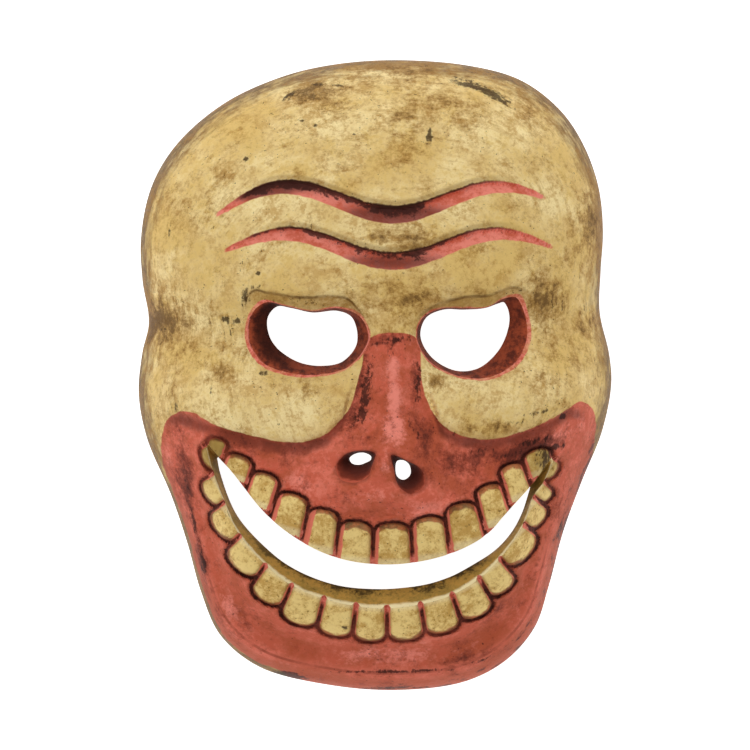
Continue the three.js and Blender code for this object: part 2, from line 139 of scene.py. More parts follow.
# Soft swellings and hollows of the dome: middle, half-size and lift
SWELLINGS = {
    "forehead": ((0.05, 0.52), (0.62, 0.36), 6),
    "left brow": ((-0.26, 0.27), (0.34, 0.07), 3),
    "right brow": ((0.42, 0.29), (0.32, 0.07), 3),
    "left eye socket": ((-0.28, 0.115), (0.36, 0.15), -6),
    "right eye socket": ((0.42, 0.12), (0.34, 0.15), -6),
    "left cheek": ((-0.56, -0.07), (0.34, 0.17), 6),
    "right cheek": ((0.68, -0.06), (0.32, 0.17), 6),
    "upper jaw": ((0.06, -0.44), (0.6, 0.2), 8),
}

# Lower edge of the two cheeks, from left to right, with the nose between them
CHEEK_LINE = [
    (-1.02, -0.15), (-0.83, -0.118), (-0.675, -0.157), (-0.54, -0.188), (-0.405, -0.208), (-0.297, -0.211),
    (-0.2, -0.183), (-0.135, -0.132), (-0.07, 0.04), (0.19, 0.04), (0.27, -0.148), (0.352, -0.188),
    (0.473, -0.203), (0.581, -0.188), (0.703, -0.152), (0.82, -0.1), (1.02, -0.14),
]

# The nose ridge from the bridge down: height on the face, half-width and lift
NOSE = [
    (0.24, 0.1, 0), (0.12, 0.11, 4), (-0.1, 0.12, 9), (-0.26, 0.19, 13), (-0.37, 0.27, 7), (-0.48, 0.3, 0),
]

# Holes: the lip on the face and the opening that shows right through, point for point
LEFT_EYE = {
    "lip": [
        (-0.021, 0.117), (-0.064, 0.19), (-0.161, 0.214), (-0.263, 0.203), (-0.377, 0.219), (-0.479, 0.233),
        (-0.534, 0.181), (-0.538, 0.098), (-0.479, 0.032), (-0.36, 0), (-0.225, -0.002), (-0.106, 0.025),
    ],
    "through": [
        (-0.076, 0.102), (-0.097, 0.181), (-0.157, 0.202), (-0.263, 0.197), (-0.352, 0.211),
        (-0.411, 0.216), (-0.451, 0.181), (-0.443, 0.121), (-0.398, 0.076), (-0.318, 0.04), (-0.225, 0.029),
        (-0.136, 0.043),
    ],
}
RIGHT_EYE = {
    "lip": [
        (0.653, 0.111), (0.64, 0.2), (0.61, 0.251), (0.547, 0.246), (0.47, 0.214), (0.369, 0.213),
        (0.267, 0.21), (0.195, 0.178), (0.174, 0.117), (0.225, 0.044), (0.339, -0.003), (0.475, -0.013),
        (0.593, 0.029),
    ],
    "through": [
        (0.561, 0.149), (0.564, 0.194), (0.542, 0.229), (0.517, 0.225), (0.462, 0.211), (0.373, 0.206),
        (0.288, 0.206), (0.216, 0.181), (0.191, 0.124), (0.237, 0.057), (0.339, 0.014), (0.436, 0.022),
        (0.521, 0.079),
    ],
}
LEFT_NOSTRIL = {
    "lip": [
        (0.004, -0.244), (-0.064, -0.237), (-0.127, -0.249), (-0.165, -0.286), (-0.148, -0.327),
        (-0.081, -0.34), (-0.03, -0.321), (-0.008, -0.283),
    ],
    "through": [
        (-0.017, -0.256), (-0.047, -0.245), (-0.085, -0.249), (-0.107, -0.263), (-0.097, -0.278),
        (-0.068, -0.283), (-0.038, -0.276), (-0.018, -0.267),
    ],
}
RIGHT_NOSTRIL = {
    "lip": [
        (0.216, -0.333), (0.195, -0.295), (0.136, -0.27), (0.066, -0.249), (0.078, -0.298), (0.097, -0.349),
        (0.148, -0.379), (0.199, -0.362),
    ],
    "through": [
        (0.15, -0.308), (0.144, -0.283), (0.121, -0.269), (0.093, -0.271), (0.086, -0.292), (0.093, -0.319),
        (0.117, -0.33), (0.14, -0.322),
    ],
}
EYES = [LEFT_EYE, RIGHT_EYE]
NOSTRILS = [LEFT_NOSTRIL, RIGHT_NOSTRIL]

# The crease above each eye, from left to right
LIDS = [
    [(-0.559, 0.225), (-0.508, 0.267), (-0.453, 0.26), (-0.309, 0.244), (-0.182, 0.248), (-0.114, 0.238),
     (-0.042, 0.181)],
    [(0.178, 0.184), (0.254, 0.219), (0.369, 0.244), (0.479, 0.251), (0.581, 0.276), (0.648, 0.262)],
]

# The grin, from the left corner to the right: edges of the two rows of teeth, and of the gap between them
UPPER_EDGE = [
    (-0.708, -0.213), (-0.597, -0.31), (-0.466, -0.432), (-0.35, -0.505), (-0.212, -0.562),
    (-0.068, -0.591), (0.102, -0.596), (0.275, -0.573), (0.414, -0.53), (0.489, -0.489), (0.557, -0.429),
    (0.653, -0.352), (0.75, -0.254),
]
LOWER_EDGE = [
    (-0.714, -0.219), (-0.684, -0.305), (-0.636, -0.398), (-0.572, -0.502), (-0.462, -0.597),
    (-0.354, -0.662), (-0.22, -0.705), (-0.078, -0.73), (0.051, -0.737), (0.191, -0.724), (0.324, -0.694),
    (0.441, -0.641), (0.528, -0.576), (0.628, -0.466), (0.669, -0.378), (0.72, -0.327), (0.754, -0.262),
]
GAP_TOP = [(-0.661, -0.259), *UPPER_EDGE[1:11], (0.651, -0.351)]
GAP_BOTTOM = [
    (-0.664, -0.264), (-0.65, -0.314), (-0.579, -0.445), (-0.436, -0.561), (-0.349, -0.608), (-0.243, -0.645),
    (-0.131, -0.668), (0.004, -0.676), (0.103, -0.673), (0.228, -0.659), (0.327, -0.633), (0.414, -0.598),
    (0.507, -0.552), (0.575, -0.496), (0.619, -0.435), (0.653, -0.356),
]

# The teeth from left to right: shares of their row's length, lengths, how square to the row they stand,
# how far the shaded collar under the gum reaches, and how far the gum's paint laps over each tooth's sides
UPPER_TEETH = {
    "widths": [24, 35, 36, 38, 36, 37, 39, 37, 39, 35, 30, 36],
    "lengths": [5.5, 8.5, 12.8, 15, 16.5, 16, 16.5, 17, 17, 15.5, 14, 9],
    "lean": 0.4,
    "collar": [0.6, 1.2, 1.0, 1.4, 1.6, 2.6, 2.0, 1.8, 2.2, 2.0, 1.8, 0.6],
    "left_paint": [0.2, 1.2, 0.8, 1.6, 2.4, 1.6, 1.4, 1.4, 1.0, 0.8, 0.8, 0.8],
    "right_paint": [0.6, 0.8, 1.4, 0.2, 0.2, 0.2, 0.2, 0.3, 0.7, 0.8, 0.5, 0.5],
}
LOWER_TEETH = {
    "widths": [30, 31, 37, 39, 33, 35, 33, 31, 34, 33, 32, 29, 42, 29, 19, 25],
    "lengths": [2.5, 6.5, 8.2, 10.2, 12.5, 14, 14, 14, 14, 14, 13.5, 11.5, 9.2, 7.6, 6, 3],
    "lean": 0.8,
    "collar": [0.3, 0.3, 0.5, 0.5, 0.3, 0.5, 0.6, 0.6, 0.8, 0.8, 0.8, 0.6, 0.6, 0.5, 0.3, 0.3],
    "left_paint": [0.2, 0.2, 0.2, 0.3, 0.3, 0.3, 0.3, 0.5, 0.5, 0.5, 0.4, 0.3, 0.3, 0.2, 0.2, 0.2],
    "right_paint": [0.3, 0.3, 0.4, 0.3, 0.3, 0.2, 0.2, 0.2, 0.2, 0.2, 0.2, 0.3, 0.5, 0.3, 0.3, 0.2],
}

# Each tooth is a little paler or browner than the next, and the upper row browner than the lower
TONE_STEP = 0.618
UPPER_TONE = 0.1
LOWER_TONE = -0.15

# The brow wrinkles are cosine waves: middle height, rise, left end, right end and droop of the left end
WRINKLES = [(0.549, 0.044, -0.675, 0.722, 0.024), (0.402, 0.043, -0.64, 0.755, 0)]
WRINKLE_WAVE = 0.45
DROOP_FROM = 0.5  # how far left of the midline the droop starts
DROOP_REACH = 0.24

# Brush strokes run round the face: their number from the middle to the edge, and round each radian
STROKES_OUT = 60
STROKES_ROUND = 7

# Painted highlight along the jaw's border, a little inside the carved one, and painted shade under the cheeks
BORDER_PAINT_SHARE = 0.945
BORDER_PAINT_HALF = 0.012
SHADE_PLACE = 2.5
SHADE_HALF = 3.5
BAND_FADE = 12  # the stains and marks fade out over this height, down to the upright band

# Edge of the red paint: down the sides of the nose, under the cheeks and round the jaw, past the outline
RED_PAINT = [
    (-0.021, 0.117), (0.174, 0.117), (0.195, -0.016), (0.216, -0.076), (0.271, -0.148), (0.352, -0.187),
    (0.475, -0.203), (0.581, -0.187), (0.703, -0.152), (0.809, -0.108), (0.852, -0.085), (0.886, -0.087),
    (0.92, -0.112), (0.932, -0.148), (0.919, -0.248), (0.892, -0.321), (0.852, -0.39), (0.911, -0.46),
    (0.95, -0.75), (0.826, -1.05), (0, -1.08), (-0.3, -1.05), (-0.38, -0.948), (-0.5, -0.908),
    (-0.625, -0.838), (-0.692, -0.746), (-0.748, -0.622), (-0.79, -0.502), (-0.852, -0.371),
    (-0.898, -0.27), (-0.898, -0.197), (-0.877, -0.143), (-0.826, -0.117), (-0.771, -0.117),
    (-0.674, -0.157), (-0.538, -0.187), (-0.407, -0.208), (-0.297, -0.211), (-0.203, -0.184),
    (-0.136, -0.132), (-0.108, -0.108), (-0.089, -0.067), (-0.057, 0.025),
]

# Spots of paint are bells: middle (u, v), two half-sizes in millimetres, turn in degrees and strength

# Where the brown glaze of age lies thicker, or thinner where the strength is below zero
# The spots down the left side are partly painted shade
PATINA = [
    (-0.29, 0.895, 10, 3.2, 12, 1.15), (0.36, 0.83, 22, 7, -10, 0.5), (0.119, 0.714, 8, 6, 0, 0.6),
    (-0.636, 0.644, 6, 6, 0, 0.5), (0.508, 0.667, 5, 7, 0, 0.35), (0.1, 0.975, 28, 4, 0, 0.85),
    (0.6, 0.88, 20, 6, -25, 0.5), (0.93, 0.48, 6, 25, 0, 0.8), (0.84, 0.42, 7, 12, 0, 0.4),
    (-0.87, 0.43, 7, 10, 0, 0.3), (0.7, 0.24, 7, 10, 0, 0.75), (0.7, 0.0, 6, 6, 0, 0.4),
    (0.63, -0.1, 8, 3, 0, 0.35), (0.106, 0.429, 26, 4.5, 0, 0.75), (0.085, 0.22, 20, 11, 0, 0.5),
    (-0.3, 0.62, 14, 6, -20, 0.3), (-0.02, 0.88, 32, 7, 0, 0.4), (-0.96, 0.14, 5, 16, 0, 0.35),
    (0.1, 0.82, 7, 4, 0, 0.4), (-0.85, 0.165, 14, 8, 0, 1.05), (-0.66, 0.0, 12, 5, -35, 0.7),
    (-0.93, 0.24, 5, 14, 0, 0.45), (-0.36, 0.07, 12, 4, -15, 0.5), (-0.87, -0.03, 5, 10, 0, 0.55),
    (-0.29, -0.05, 7, 4, 0, 0.3), (0.89, 0.17, 10, 5.5, 0, 0.7), (0.76, 0.23, 9, 5, 20, 0.5),
    (0.254, -0.025, 6, 5, 0, 0.7), (0.53, -0.165, 8, 3, 0, 0.75), (0.38, -0.17, 4, 3, 0, 0.6),
    (0.85, 0.03, 6, 9, 0, 0.3), (0.23, 0.245, 12, 3, 10, 0.5), (0.45, 0.262, 12, 2, 0, 0.4),
    (-0.32, 0.276, 16, 3, 0, -0.6), (0.48, -0.11, 12, 4, 0, -0.35),
]

# Where the red paint is darkened, and the wrinkles are dull and dark with soot and painted shade
RED_PATINA = [
    (-0.065, 0.0, 3, 15, -10, 1.1), (-0.13, -0.14, 4, 7, -35, 0.8), (0.165, -0.03, 2, 10, 0, 1.2),
    (0.19, -0.16, 4, 7, 30, 0.6), (0.06, 0.108, 7, 2.2, 0, 1.0), (0.645, -0.235, 15, 4, 22, 1.3),
    (0.42, -0.25, 17, 4, 5, 0.7), (0.33, -0.3, 14, 5, 10, 0.5), (0.21, -0.2, 4, 6, 0, 0.7),
    (-0.36, -0.235, 14, 3, -8, 0.6), (-0.56, -0.2, 11, 4, -25, 0.6), (-0.38, -0.27, 3, 4, 0, 0.6),
    (-0.79, -0.36, 3, 14, 8, 1.2), (-0.73, -0.58, 2, 11, 12, 0.9), (-0.05, -0.2, 7, 3, 0, 0.5),
    (-0.52, -0.76, 8, 3, -35, 0.4), (0.5, -0.74, 8, 4, 35, 0.4), (0.15, -0.8, 26, 3, 2, 0.25),
    (0.4, -0.89, 16, 1.6, 12, 0.7), (0.83, -0.38, 2.5, 14, -8, 0.4), (0.09, 0.5, 26, 5, 0, 1.3),
    (-0.35, 0.6, 16, 3, -8, 0.7), (0.07, 0.355, 22, 4, 0, 1.0), (-0.46, 0.57, 9, 3, 8, 1.8),
    (-0.81, -0.25, 4, 8, 0, 0.4),
]

# Painted highlights, where the red paint is drawn paler: on the nose, the gums and the jaw
LIT = [
    (0.08, -0.02, 3, 14, 3, 0.85), (0.08, -0.17, 4.5, 7, 8, 0.9), (0.04, -0.27, 2.2, 7, -8, 0.6),
    (0.0, -0.38, 10, 2.5, 0, 0.5), (-0.33, -0.35, 9, 7, -20, 0.5), (0.2, -0.43, 14, 5, 8, 0.4),
    (-0.25, -0.45, 10, 3, -15, 0.4), (-0.62, -0.72, 4, 9, 20, 0.65), (0.61, -0.76, 4, 7, -20, 0.5),
    (0.05, -0.885, 30, 4, 0, 0.5), (0.75, -0.2, 8, 3, 25, 0.5), (0.85, -0.15, 5, 5, 0, 0.5),
    (-0.86, -0.3, 4, 12, 5, 0.4),
]

# Where the teeth run out into the corners of the mouth: duller, with weaker outlines
MOUTH_CORNERS = [
    (-0.68, -0.235, 7, 10, 0, 1.5), (0.71, -0.265, 7, 9, 0, 1.2),
]

# Dark marks, where the paint is worn through or scorched, also on the ledge of the mouth
# The long mark down the left side of the nose is painted shade
MARKS = [
    (-0.36, 0.885, 4.5, 1.2, 38, 1.2), (-0.26, 0.89, 8, 2.4, 10, 0.45), (-0.24, 0.92, 3, 1.0, 0, 0.9),
    (-0.15, 0.915, 4, 0.7, -5, 0.8), (0.05, 0.9, 2, 0.7, -25, 0.9), (-0.3, -0.612, 9, 2, -20, 1.0),
    (-0.46, -0.53, 6, 2.5, -45, 0.7), (0.37, 0.925, 8, 2.4, -8, 0.9), (0.5, 0.885, 9, 2.0, -27, 1.0),
    (0.229, 0.756, 1.2, 4.2, -4, 1.4), (0.045, 0.935, 3, 1.3, 0, 0.7), (-0.542, 0.683, 0.7, 1.5, -15, 1.6),
    (-0.72, 0.676, 0.8, 1.1, 0, 1.1), (-0.492, 0.321, 0.9, 0.9, 0, 1.7), (-0.866, 0.451, 0.6, 2.2, 0, 1.2),
    (-0.252, 0.789, 1.3, 0.9, 0, 1.2), (-0.311, 0.803, 1.8, 0.7, 0, 1.0), (-0.09, 0.762, 1.0, 0.5, 0, 1.0),
    (-0.545, 0.24, 2.2, 4.5, 0, 0.8), (-0.5, 0.278, 5, 1.0, 10, 0.6), (-0.3, 0.232, 14, 1.6, -4, 0.4),
    (-0.63, 0.17, 9, 12, 0, 0.3), (-0.628, 0.177, 2, 1.2, 0, 0.8), (-0.58, 0.171, 1.6, 1.2, 0, 0.9),
    (-0.89, 0.144, 2.5, 0.8, 0, 0.9), (-0.689, -0.053, 1.0, 3, 0, 0.6), (-0.84, -0.1, 4, 3, 30, 0.5),
    (-0.47, 0.005, 4.5, 1.3, -12, 0.9), (0.076, 0.108, 7, 1.6, 5, 0.9), (0.18, -0.03, 1.3, 10, 0, 1.0),
    (-0.038, -0.054, 2.6, 13, -8, 0.95), (-0.1, -0.15, 3, 7, -35, 0.55), (0.16, -0.17, 2.5, 7, 30, 0.5),
    (0.07, 0.06, 8, 5, 0, 0.35), (-0.3, -0.235, 12, 1.6, -8, 0.4), (0.1, -0.28, 2, 6, 0, 0.35),
    (0.6, 0.265, 6, 1.2, 15, 0.5), (0.73, 0.22, 8, 4, 0, 0.3), (0.9, 0.19, 5, 5, 0, 0.4),
    (0.785, -0.13, 1.8, 1.6, 0, 1.2), (0.7, -0.115, 6, 1.0, 14, 0.65), (0.59, -0.15, 6, 1.2, 4, 0.65),
    (0.335, -0.185, 3, 1.4, 0, 0.5), (0.71, -0.25, 6, 4, 28, 0.75), (0.66, -0.21, 11, 1.8, 14, 0.65),
    (0.58, -0.25, 8, 1.5, 14, 0.6), (0.43, -0.24, 12, 1.2, 6, 0.4), (0.77, -0.225, 4, 1.2, 5, 0.8),
    (0.72, -0.3, 3, 4, 0, 0.5), (-0.79, -0.36, 1.6, 12, 8, 0.5), (-0.36, -0.957, 5.8, 2.2, -14, 1.5),
    (-0.725, -0.584, 1.2, 6.5, 10, 1.0), (-0.76, -0.47, 1.4, 5, 5, 0.7), (0.05, -0.993, 34, 0.9, 1, 0.8),
    (0.06, -0.937, 34, 0.8, 1, 0.8), (0.47, -0.9, 8, 1.0, 14, 0.7), (0.78, -0.5, 1.0, 8, -12, 0.7),
    (0.71, -0.7, 1.0, 6, -20, 0.7), (0.43, -0.985, 6, 0.9, 12, 0.6), (0.44, -0.56, 5, 4, 40, 0.5),
    (0.33, -0.6, 6, 1.4, 18, 0.45), (-0.07, -0.66, 9, 1.4, 2, 0.5), (-0.13, -0.8, 2, 1, 0, 0.8),
    (0.1, -0.745, 1.4, 1.4, 0, 0.7), (-0.61, -0.42, 5, 5, 0, 0.35), (-0.66, -0.28, 3, 4, 0, 0.4),
]


# Arithmetic on places

def smoothstep(value, start, end):
    """0 before start, 1 after end and an S-curve between them."""
    t = np.clip((value - start) / (end - start), 0, 1)
    return t * t * (3 - 2 * t)


def bell(value, half):
    """1 at zero, falling away on both sides as a bell curve."""
    return np.exp(-((value / half) ** 2))


def curve_through(shares, closed=False):
    """Centripetal Catmull-Rom curve through places on the face, in millimetres.

    Each span is a cubic whose end slopes come from the four places round it, weighed by the square roots
    of the distances between them."""
    places = np.asarray(shares, float) * (HALF_WIDTH, HALF_HEIGHT)
    if closed:
        row = np.vstack([places[-1], places, places[:2]])
    else:
        row = np.vstack([2 * places[0] - places[1], places, 2 * places[-1] - places[-2]])
    a, b, c, d = row[:-3], row[1:-2], row[2:-1], row[3:]
    ab, bc, cd = (np.sqrt(np.linalg.norm(q - p, axis=1))[:, None] for p, q in ((a, b), (b, c), (c, d)))
    leave = ((b - a) / ab - (c - a) / (ab + bc) + (c - b) / bc) * bc
    arrive = ((c - b) / bc - (d - b) / (bc + cd) + (d - c) / cd) * bc
    t = np.linspace(0, 1, CURVE_STEPS, endpoint=False)[:, None, None]
    spans = (2 * t**3 - 3 * t**2 + 1) * b + (t**3 - 2 * t**2 + t) * leave
    spans = spans + (3 * t**2 - 2 * t**3) * c + (t**3 - t**2) * arrive
    line = spans.transpose(1, 0, 2).reshape(-1, 2)
    return line if closed else np.vstack([line, places[-1]])


def at_steps(steps, line):
    """Points on a line at these steps, which may fall between its own points."""
    return np.stack([np.interp(steps, np.arange(len(line)), line[:, k]) for k in (0, 1)], 1)


def spaced(line, count):
    """Points at equal distances along an open line."""
    gaps = np.linalg.norm(np.diff(line, axis=0), axis=1)
    length = np.concatenate([[0], np.cumsum(gaps)])
    at = np.linspace(0, length[-1], count)
    return np.stack([np.interp(at, length, line[:, k]) for k in (0, 1)], 1)


def distance_to(line, x, y):
    """Shortest distance from each place to a line of straight pieces."""
    best = np.full(x.shape, np.inf)
    for (ax, ay), (bx, by) in zip(line[:-1], line[1:]):
        dx, dy = bx - ax, by - ay
        t = np.clip(((x - ax) * dx + (y - ay) * dy) / (dx * dx + dy * dy), 0, 1)
        best = np.minimum(best, (x - ax - t * dx) ** 2 + (y - ay - t * dy) ** 2)
    return np.sqrt(best)


def depth_inside(line, x, y):
    """Distance from each place to a closed line, positive inside it.

    A place is inside where the way out from it to the right crosses the line an odd number of times."""
    ring = np.vstack([line, line[:1]])
    odd = np.zeros(x.shape, bool)
    for (ax, ay), (bx, by) in zip(ring[:-1], ring[1:]):
        if ay != by:
            odd ^= ((ay > y) != (by > y)) & (x < (bx - ax) * (y - ay) / (by - ay) + ax)
    return np.where(odd, 1, -1) * distance_to(ring, x, y)


OUTLINE_LINE = curve_through(OUTLINE, closed=True)
OUTLINE_ANGLES = np.arctan2(OUTLINE_LINE[:, 1], OUTLINE_LINE[:, 0])
OUTLINE_RADII = np.hypot(OUTLINE_LINE[:, 0], OUTLINE_LINE[:, 1])


def outline_radius(angle):
    """Distance from the middle of the face to its outline, read off the outline's curve."""
    return np.interp(angle, OUTLINE_ANGLES, OUTLINE_RADII, period=2 * math.pi)


def shares_of(x, y, inset=0.0):
    """A place as shares of half the width and height, and of the way out to the outline."""
    share = np.hypot(x, y) / (outline_radius(np.arctan2(y, x)) - inset)
    return x / HALF_WIDTH, y / HALF_HEIGHT, share


# The large form, the same as the solid's

def swelling(u, v):
    """Sum of the soft swellings, each a bell curve across and down."""
    return sum(
        lift * bell(u - middle[0], half[0]) * bell(v - middle[1], half[1])
        for middle, half, lift in SWELLINGS.values()
    )


def nose_ridge(u, v):
    """The nose's profile down the face, eased from stage to stage, times a bell curve across it."""
    heights, halves, lifts = np.array(NOSE).T
    numbers = np.arange(len(NOSE))
    stage = np.interp(-v, -heights, numbers)
    stage = np.floor(stage) + smoothstep(stage % 1, 0, 1)
    return np.interp(stage, numbers, lifts) * bell(u - MIDLINE, np.interp(stage, numbers, halves))


def above_cheek_line(u, v):
    """How far a place lies above the lower edge of the cheeks."""
    return (v - np.interp(u, *np.array(CHEEK_LINE).T)) * HALF_HEIGHT


def cheek_step(u, v):
    """The cheeks stand over the upper jaw by a rounded step, which dies out at the eyes."""
    step = smoothstep(above_cheek_line(u, v), -CHEEK_EDGE, CHEEK_EDGE)
    return CHEEK_STEP * step * (1 - smoothstep(v, *CHEEK_FADE))


def jaw_channel(share, v):
    """The channel round the lower teeth: a bell curve across, fading out up the sides. 1 where deepest."""
    return bell(share - CHANNEL_SHARE, CHANNEL_HALF) * smoothstep(-v, *CHANNEL_FADE)


def dome(share, v, top):
    """Superellipse over the share of the way to the edge, lower and squarer at the jaw."""
    power = JAW_POWER + (CRANIUM_POWER - JAW_POWER) * smoothstep(v, *JAW_TO_CRANIUM)
    rise = top - SKIRT - CHIN_DROP * smoothstep(-v, *CHIN_FALL)
    return SKIRT + rise * (1 - np.clip(share, 0, 1) ** power) ** (1 / power)


def carving_share(share):
    """All of the carving shows on the face, and none of it at the upright band."""
    return 1 - smoothstep(share, *CARVING_FADE)


def large_form(x, y):
    """Height of the face without its fine carving."""
    u, v, share = shares_of(x, y)
    carving = swelling(u, v) + nose_ridge(u, v) + cheek_step(u, v)
    return dome(share, v, DOME) + carving_share(share) * carving - CHANNEL_DEPTH * jaw_channel(share, v)


def hollow_form(x, y):
    """Height of the hollow: the dome a wall thinner, softer swellings, and the marks of the gouge.

    The gouge marks are the product of two bent rows of half waves."""
    u, v, share = shares_of(x, y, WALL)
    carving = HOLLOW_SWELLING * swelling(u, v) + HOLLOW_NOSE * nose_ridge(u, v)
    across, up = x / 7 + 1.5 * np.sin(y / 23), y / 11 + 1.2 * np.sin(x / 19)
    gouge = GOUGE_DEPTH * np.abs(np.sin(across)) * np.abs(np.sin(up))
    return dome(share, v, DOME - WALL) + carving_share(share) * (carving + gouge)


# The fine carving

def teeth_of(edge, row, side):
    """Each tooth of a row: where its two sides start on the edge, the way that each runs, and its sizes."""
    line = spaced(curve_through(edge), EDGE_STEPS)
    widths = np.array(row["widths"], float)
    ends = np.concatenate([[0], np.cumsum(widths) / widths.sum()]) * (len(line) - 1)
    place, ahead, back = (at_steps(ends + shift, line) for shift in (0, TANGENT_STEPS, -TANGENT_STEPS))
    tangent = (ahead - back) / np.linalg.norm(ahead - back, axis=1)[:, None]
    square = np.stack([-tangent[:, 1], tangent[:, 0]], 1) * side
    away = (1 - row["lean"]) * np.array([0, side]) + row["lean"] * square
    away /= np.linalg.norm(away, axis=1)[:, None]
    own = (row[name] for name in ("lengths", "collar", "left_paint", "right_paint"))
    return list(zip(place[:-1], place[1:], away[:-1], away[1:], *own))


TOOTH_STATIONS = teeth_of(UPPER_EDGE, UPPER_TEETH, 1) + teeth_of(LOWER_EDGE, LOWER_TEETH, -1)


def tooth_field(x, y):
    """For the nearest tooth: how deep a place lies in it, how far up it (a share of its length), how far
    inside its shaded collar, how far inside the gum's paint at its sides, and the tooth's own tone.

    A tooth has straight sides, which part or close in as the row bends, and a superelliptic gum end. Its
    depth is its half-width times what the superellipse's radius leaves of 1."""
    found = {"depth": np.full(x.shape, FAR_OUT)}
    for name in ("along", "collar", "lapped", "tone"):
        found[name] = np.zeros(x.shape)
    for number, (start, end, way, end_way, length, collar, left, right) in enumerate(TOOTH_STATIONS):
        handed = np.sign(way[1])
        from_left = ((x - start[0]) * way[1] - (y - start[1]) * way[0]) * handed
        from_right = ((y - end[1]) * end_way[0] - (x - end[0]) * end_way[1]) * handed
        middle, mean_way = (start + end) / 2, (way + end_way) / np.linalg.norm(way + end_way)
        up = (x - middle[0]) * mean_way[0] + (y - middle[1]) * mean_way[1]
        half = np.maximum((from_left + from_right - TOOTH_GAP) / 2, 0.5)
        aside = (from_left - from_right) / 2
        crown = GUM_ROUND * half
        reach = np.maximum(up - length + crown, 0) / crown
        radius = (np.abs(aside / half) ** TOOTH_SQUARE + reach**TOOTH_SQUARE) ** (1 / TOOTH_SQUARE)
        arch = length - crown + crown * np.sqrt(np.clip(1 - (aside / half) ** 2, 0, 1))
        here = {
            "depth": (1 - radius) * half,
            "along": up / length,
            "collar": collar - (arch - up),
            "lapped": np.maximum(left - (half + aside), right - (half - aside)),
            "tone": np.full(x.shape, number * TONE_STEP % 1 + (UPPER_TONE if handed > 0 else LOWER_TONE)),
        }
        nearer = (here["depth"] > found["depth"]) & (up > -TOOTH_PAST_EDGE)
        for name, values in here.items():
            found[name] = np.where(nearer, values, found[name])
    return found


def wrinkle_field(x, y):
    """For the nearest wrinkle: distance below its steep upper edge, its width there (0 past its ends), and
    how far inside it a place lies."""
    u = x / HALF_WIDTH
    below, width, inside = np.zeros(x.shape), np.zeros(x.shape), np.full(x.shape, FAR_OUT)
    for middle, rise, start, end, droop in WRINKLES:
        part = np.clip((u - start) / (end - start), 0, 1)
        half = WRINKLE_WIDTH / 2 * np.sin(part * math.pi) ** 0.5
        wave = middle - rise * np.cos((u - MIDLINE) / WRINKLE_WAVE * math.pi)
        wave = (wave - droop * np.maximum(0, (MIDLINE - u - DROOP_FROM) / DROOP_REACH) ** 2) * HALF_HEIGHT
        here = wave + half - y
        within = np.minimum(here, 2 * half - here)
        nearer = within > inside
        below, width = np.where(nearer, here, below), np.where(nearer, 2 * half, width)
        inside = np.where(nearer, within, inside)
    return below, width, inside


def wrinkle_cut(x, y):
    """Depth of the wrinkles: down within a quarter of the width, then a straight ramp up."""
    below, width, _ = wrinkle_field(x, y)
    reach = np.maximum(width, 0.01)
    floor = WRINKLE_STEEP * reach
    ramp = np.clip(1 - (below - floor) / (reach - floor), 0, 1)
    deep = WRINKLE_DEPTH * np.clip(width / WRINKLE_WIDTH, 0, 1)
    return deep * smoothstep(below, -0.05 * reach, floor) * ramp


def lid_field(x, y):
    """How far a place lies below the crease over its eye, and a window that closes past its ends."""
    below, window = np.full(x.shape, -FAR_OUT), np.zeros(x.shape)
    for lid in LIDS:
        line = curve_through(lid)
        line = line[np.argsort(line[:, 0])]
        start, end = line[0, 0], line[-1, 0]
        near = (x > start - 4) & (x < end + 4)
        below = np.where(near, np.interp(x, *line.T) - y, below)
        open_here = smoothstep(x, start - 3, start + 6) * smoothstep(-x, -end - 3, -end + 6)
        window = np.where(near, open_here, window)
    return below, window


def lip_line(hole):
    """The lip of a hole as a closed line."""
    return curve_through(hole["lip"], closed=True)


MOUTH_LINE = np.vstack([
    spaced(curve_through(UPPER_EDGE), MOUTH_POINTS),
    spaced(curve_through(LOWER_EDGE), MOUTH_POINTS)[::-1],
])


def unevenness(x, y):
    """Slow waves in several directions, as a knife and a hand leave them."""
    waves = [
        (31, 9, 0.4, 1.0), (17, -23, 1.7, 0.9), (-13, 19, 2.9, 0.7), (9, 12, 0.9, 0.6), (-8, -7, 4.1, 0.5),
    ]
    total = sum(part * np.sin(x / across + y / up + start) for across, up, start, part in waves)
    return UNEVENNESS * total


def fine_carving(x, y):
    """Everything that is carved into the large form, as a height over it."""
    u, v, share = shares_of(x, y)
    tooth = tooth_field(x, y)
    depth, flatter = tooth["depth"], 1 - 0.5 * smoothstep(tooth["along"], 0.6, 1)
    carving = TOOTH_PROUD * smoothstep(depth, -0.2, TOOTH_PILLOW) * flatter
    carving -= GROOVE_DEPTH * bell(depth + TOOTH_GAP / 2, GROOVE_HALF)
    carving += GUM_ROLL * bell(depth + ROLL_PLACE, ROLL_HALF)
    carving -= LIP_DROP * smoothstep(depth_inside(MOUTH_LINE, x, y), -LIP_ROUND, 0)
    carving -= wrinkle_cut(x, y)
    below_lid, window = lid_field(x, y)
    recess = smoothstep(below_lid, -1.0, 1.0) * (1 - smoothstep(below_lid, 3, LID_REACH))
    carving -= LID_DEPTH * window * recess
    for hole in EYES + NOSTRILS:
        carving -= LIP_DROP * smoothstep(depth_inside(lip_line(hole), x, y), -LIP_ROUND, 0.4)
    crease = bell(above_cheek_line(u, v) + CREASE_PLACE, CREASE_HALF)
    carving -= CREASE_DEPTH * crease * (1 - smoothstep(v, *CREASE_FADE))
    border = BORDER_HEIGHT * bell(share - BORDER_SHARE, BORDER_HALF) * smoothstep(-v, *BORDER_FADE)
    uneven = unevenness(x, y) * (1 - smoothstep(share, 0.9, 1))
    return carving_share(share) * carving + border + uneven


def face_form(x, y):
    """Height of the finished face."""
    return large_form(x, y) + fine_carving(x, y)


# Meshes

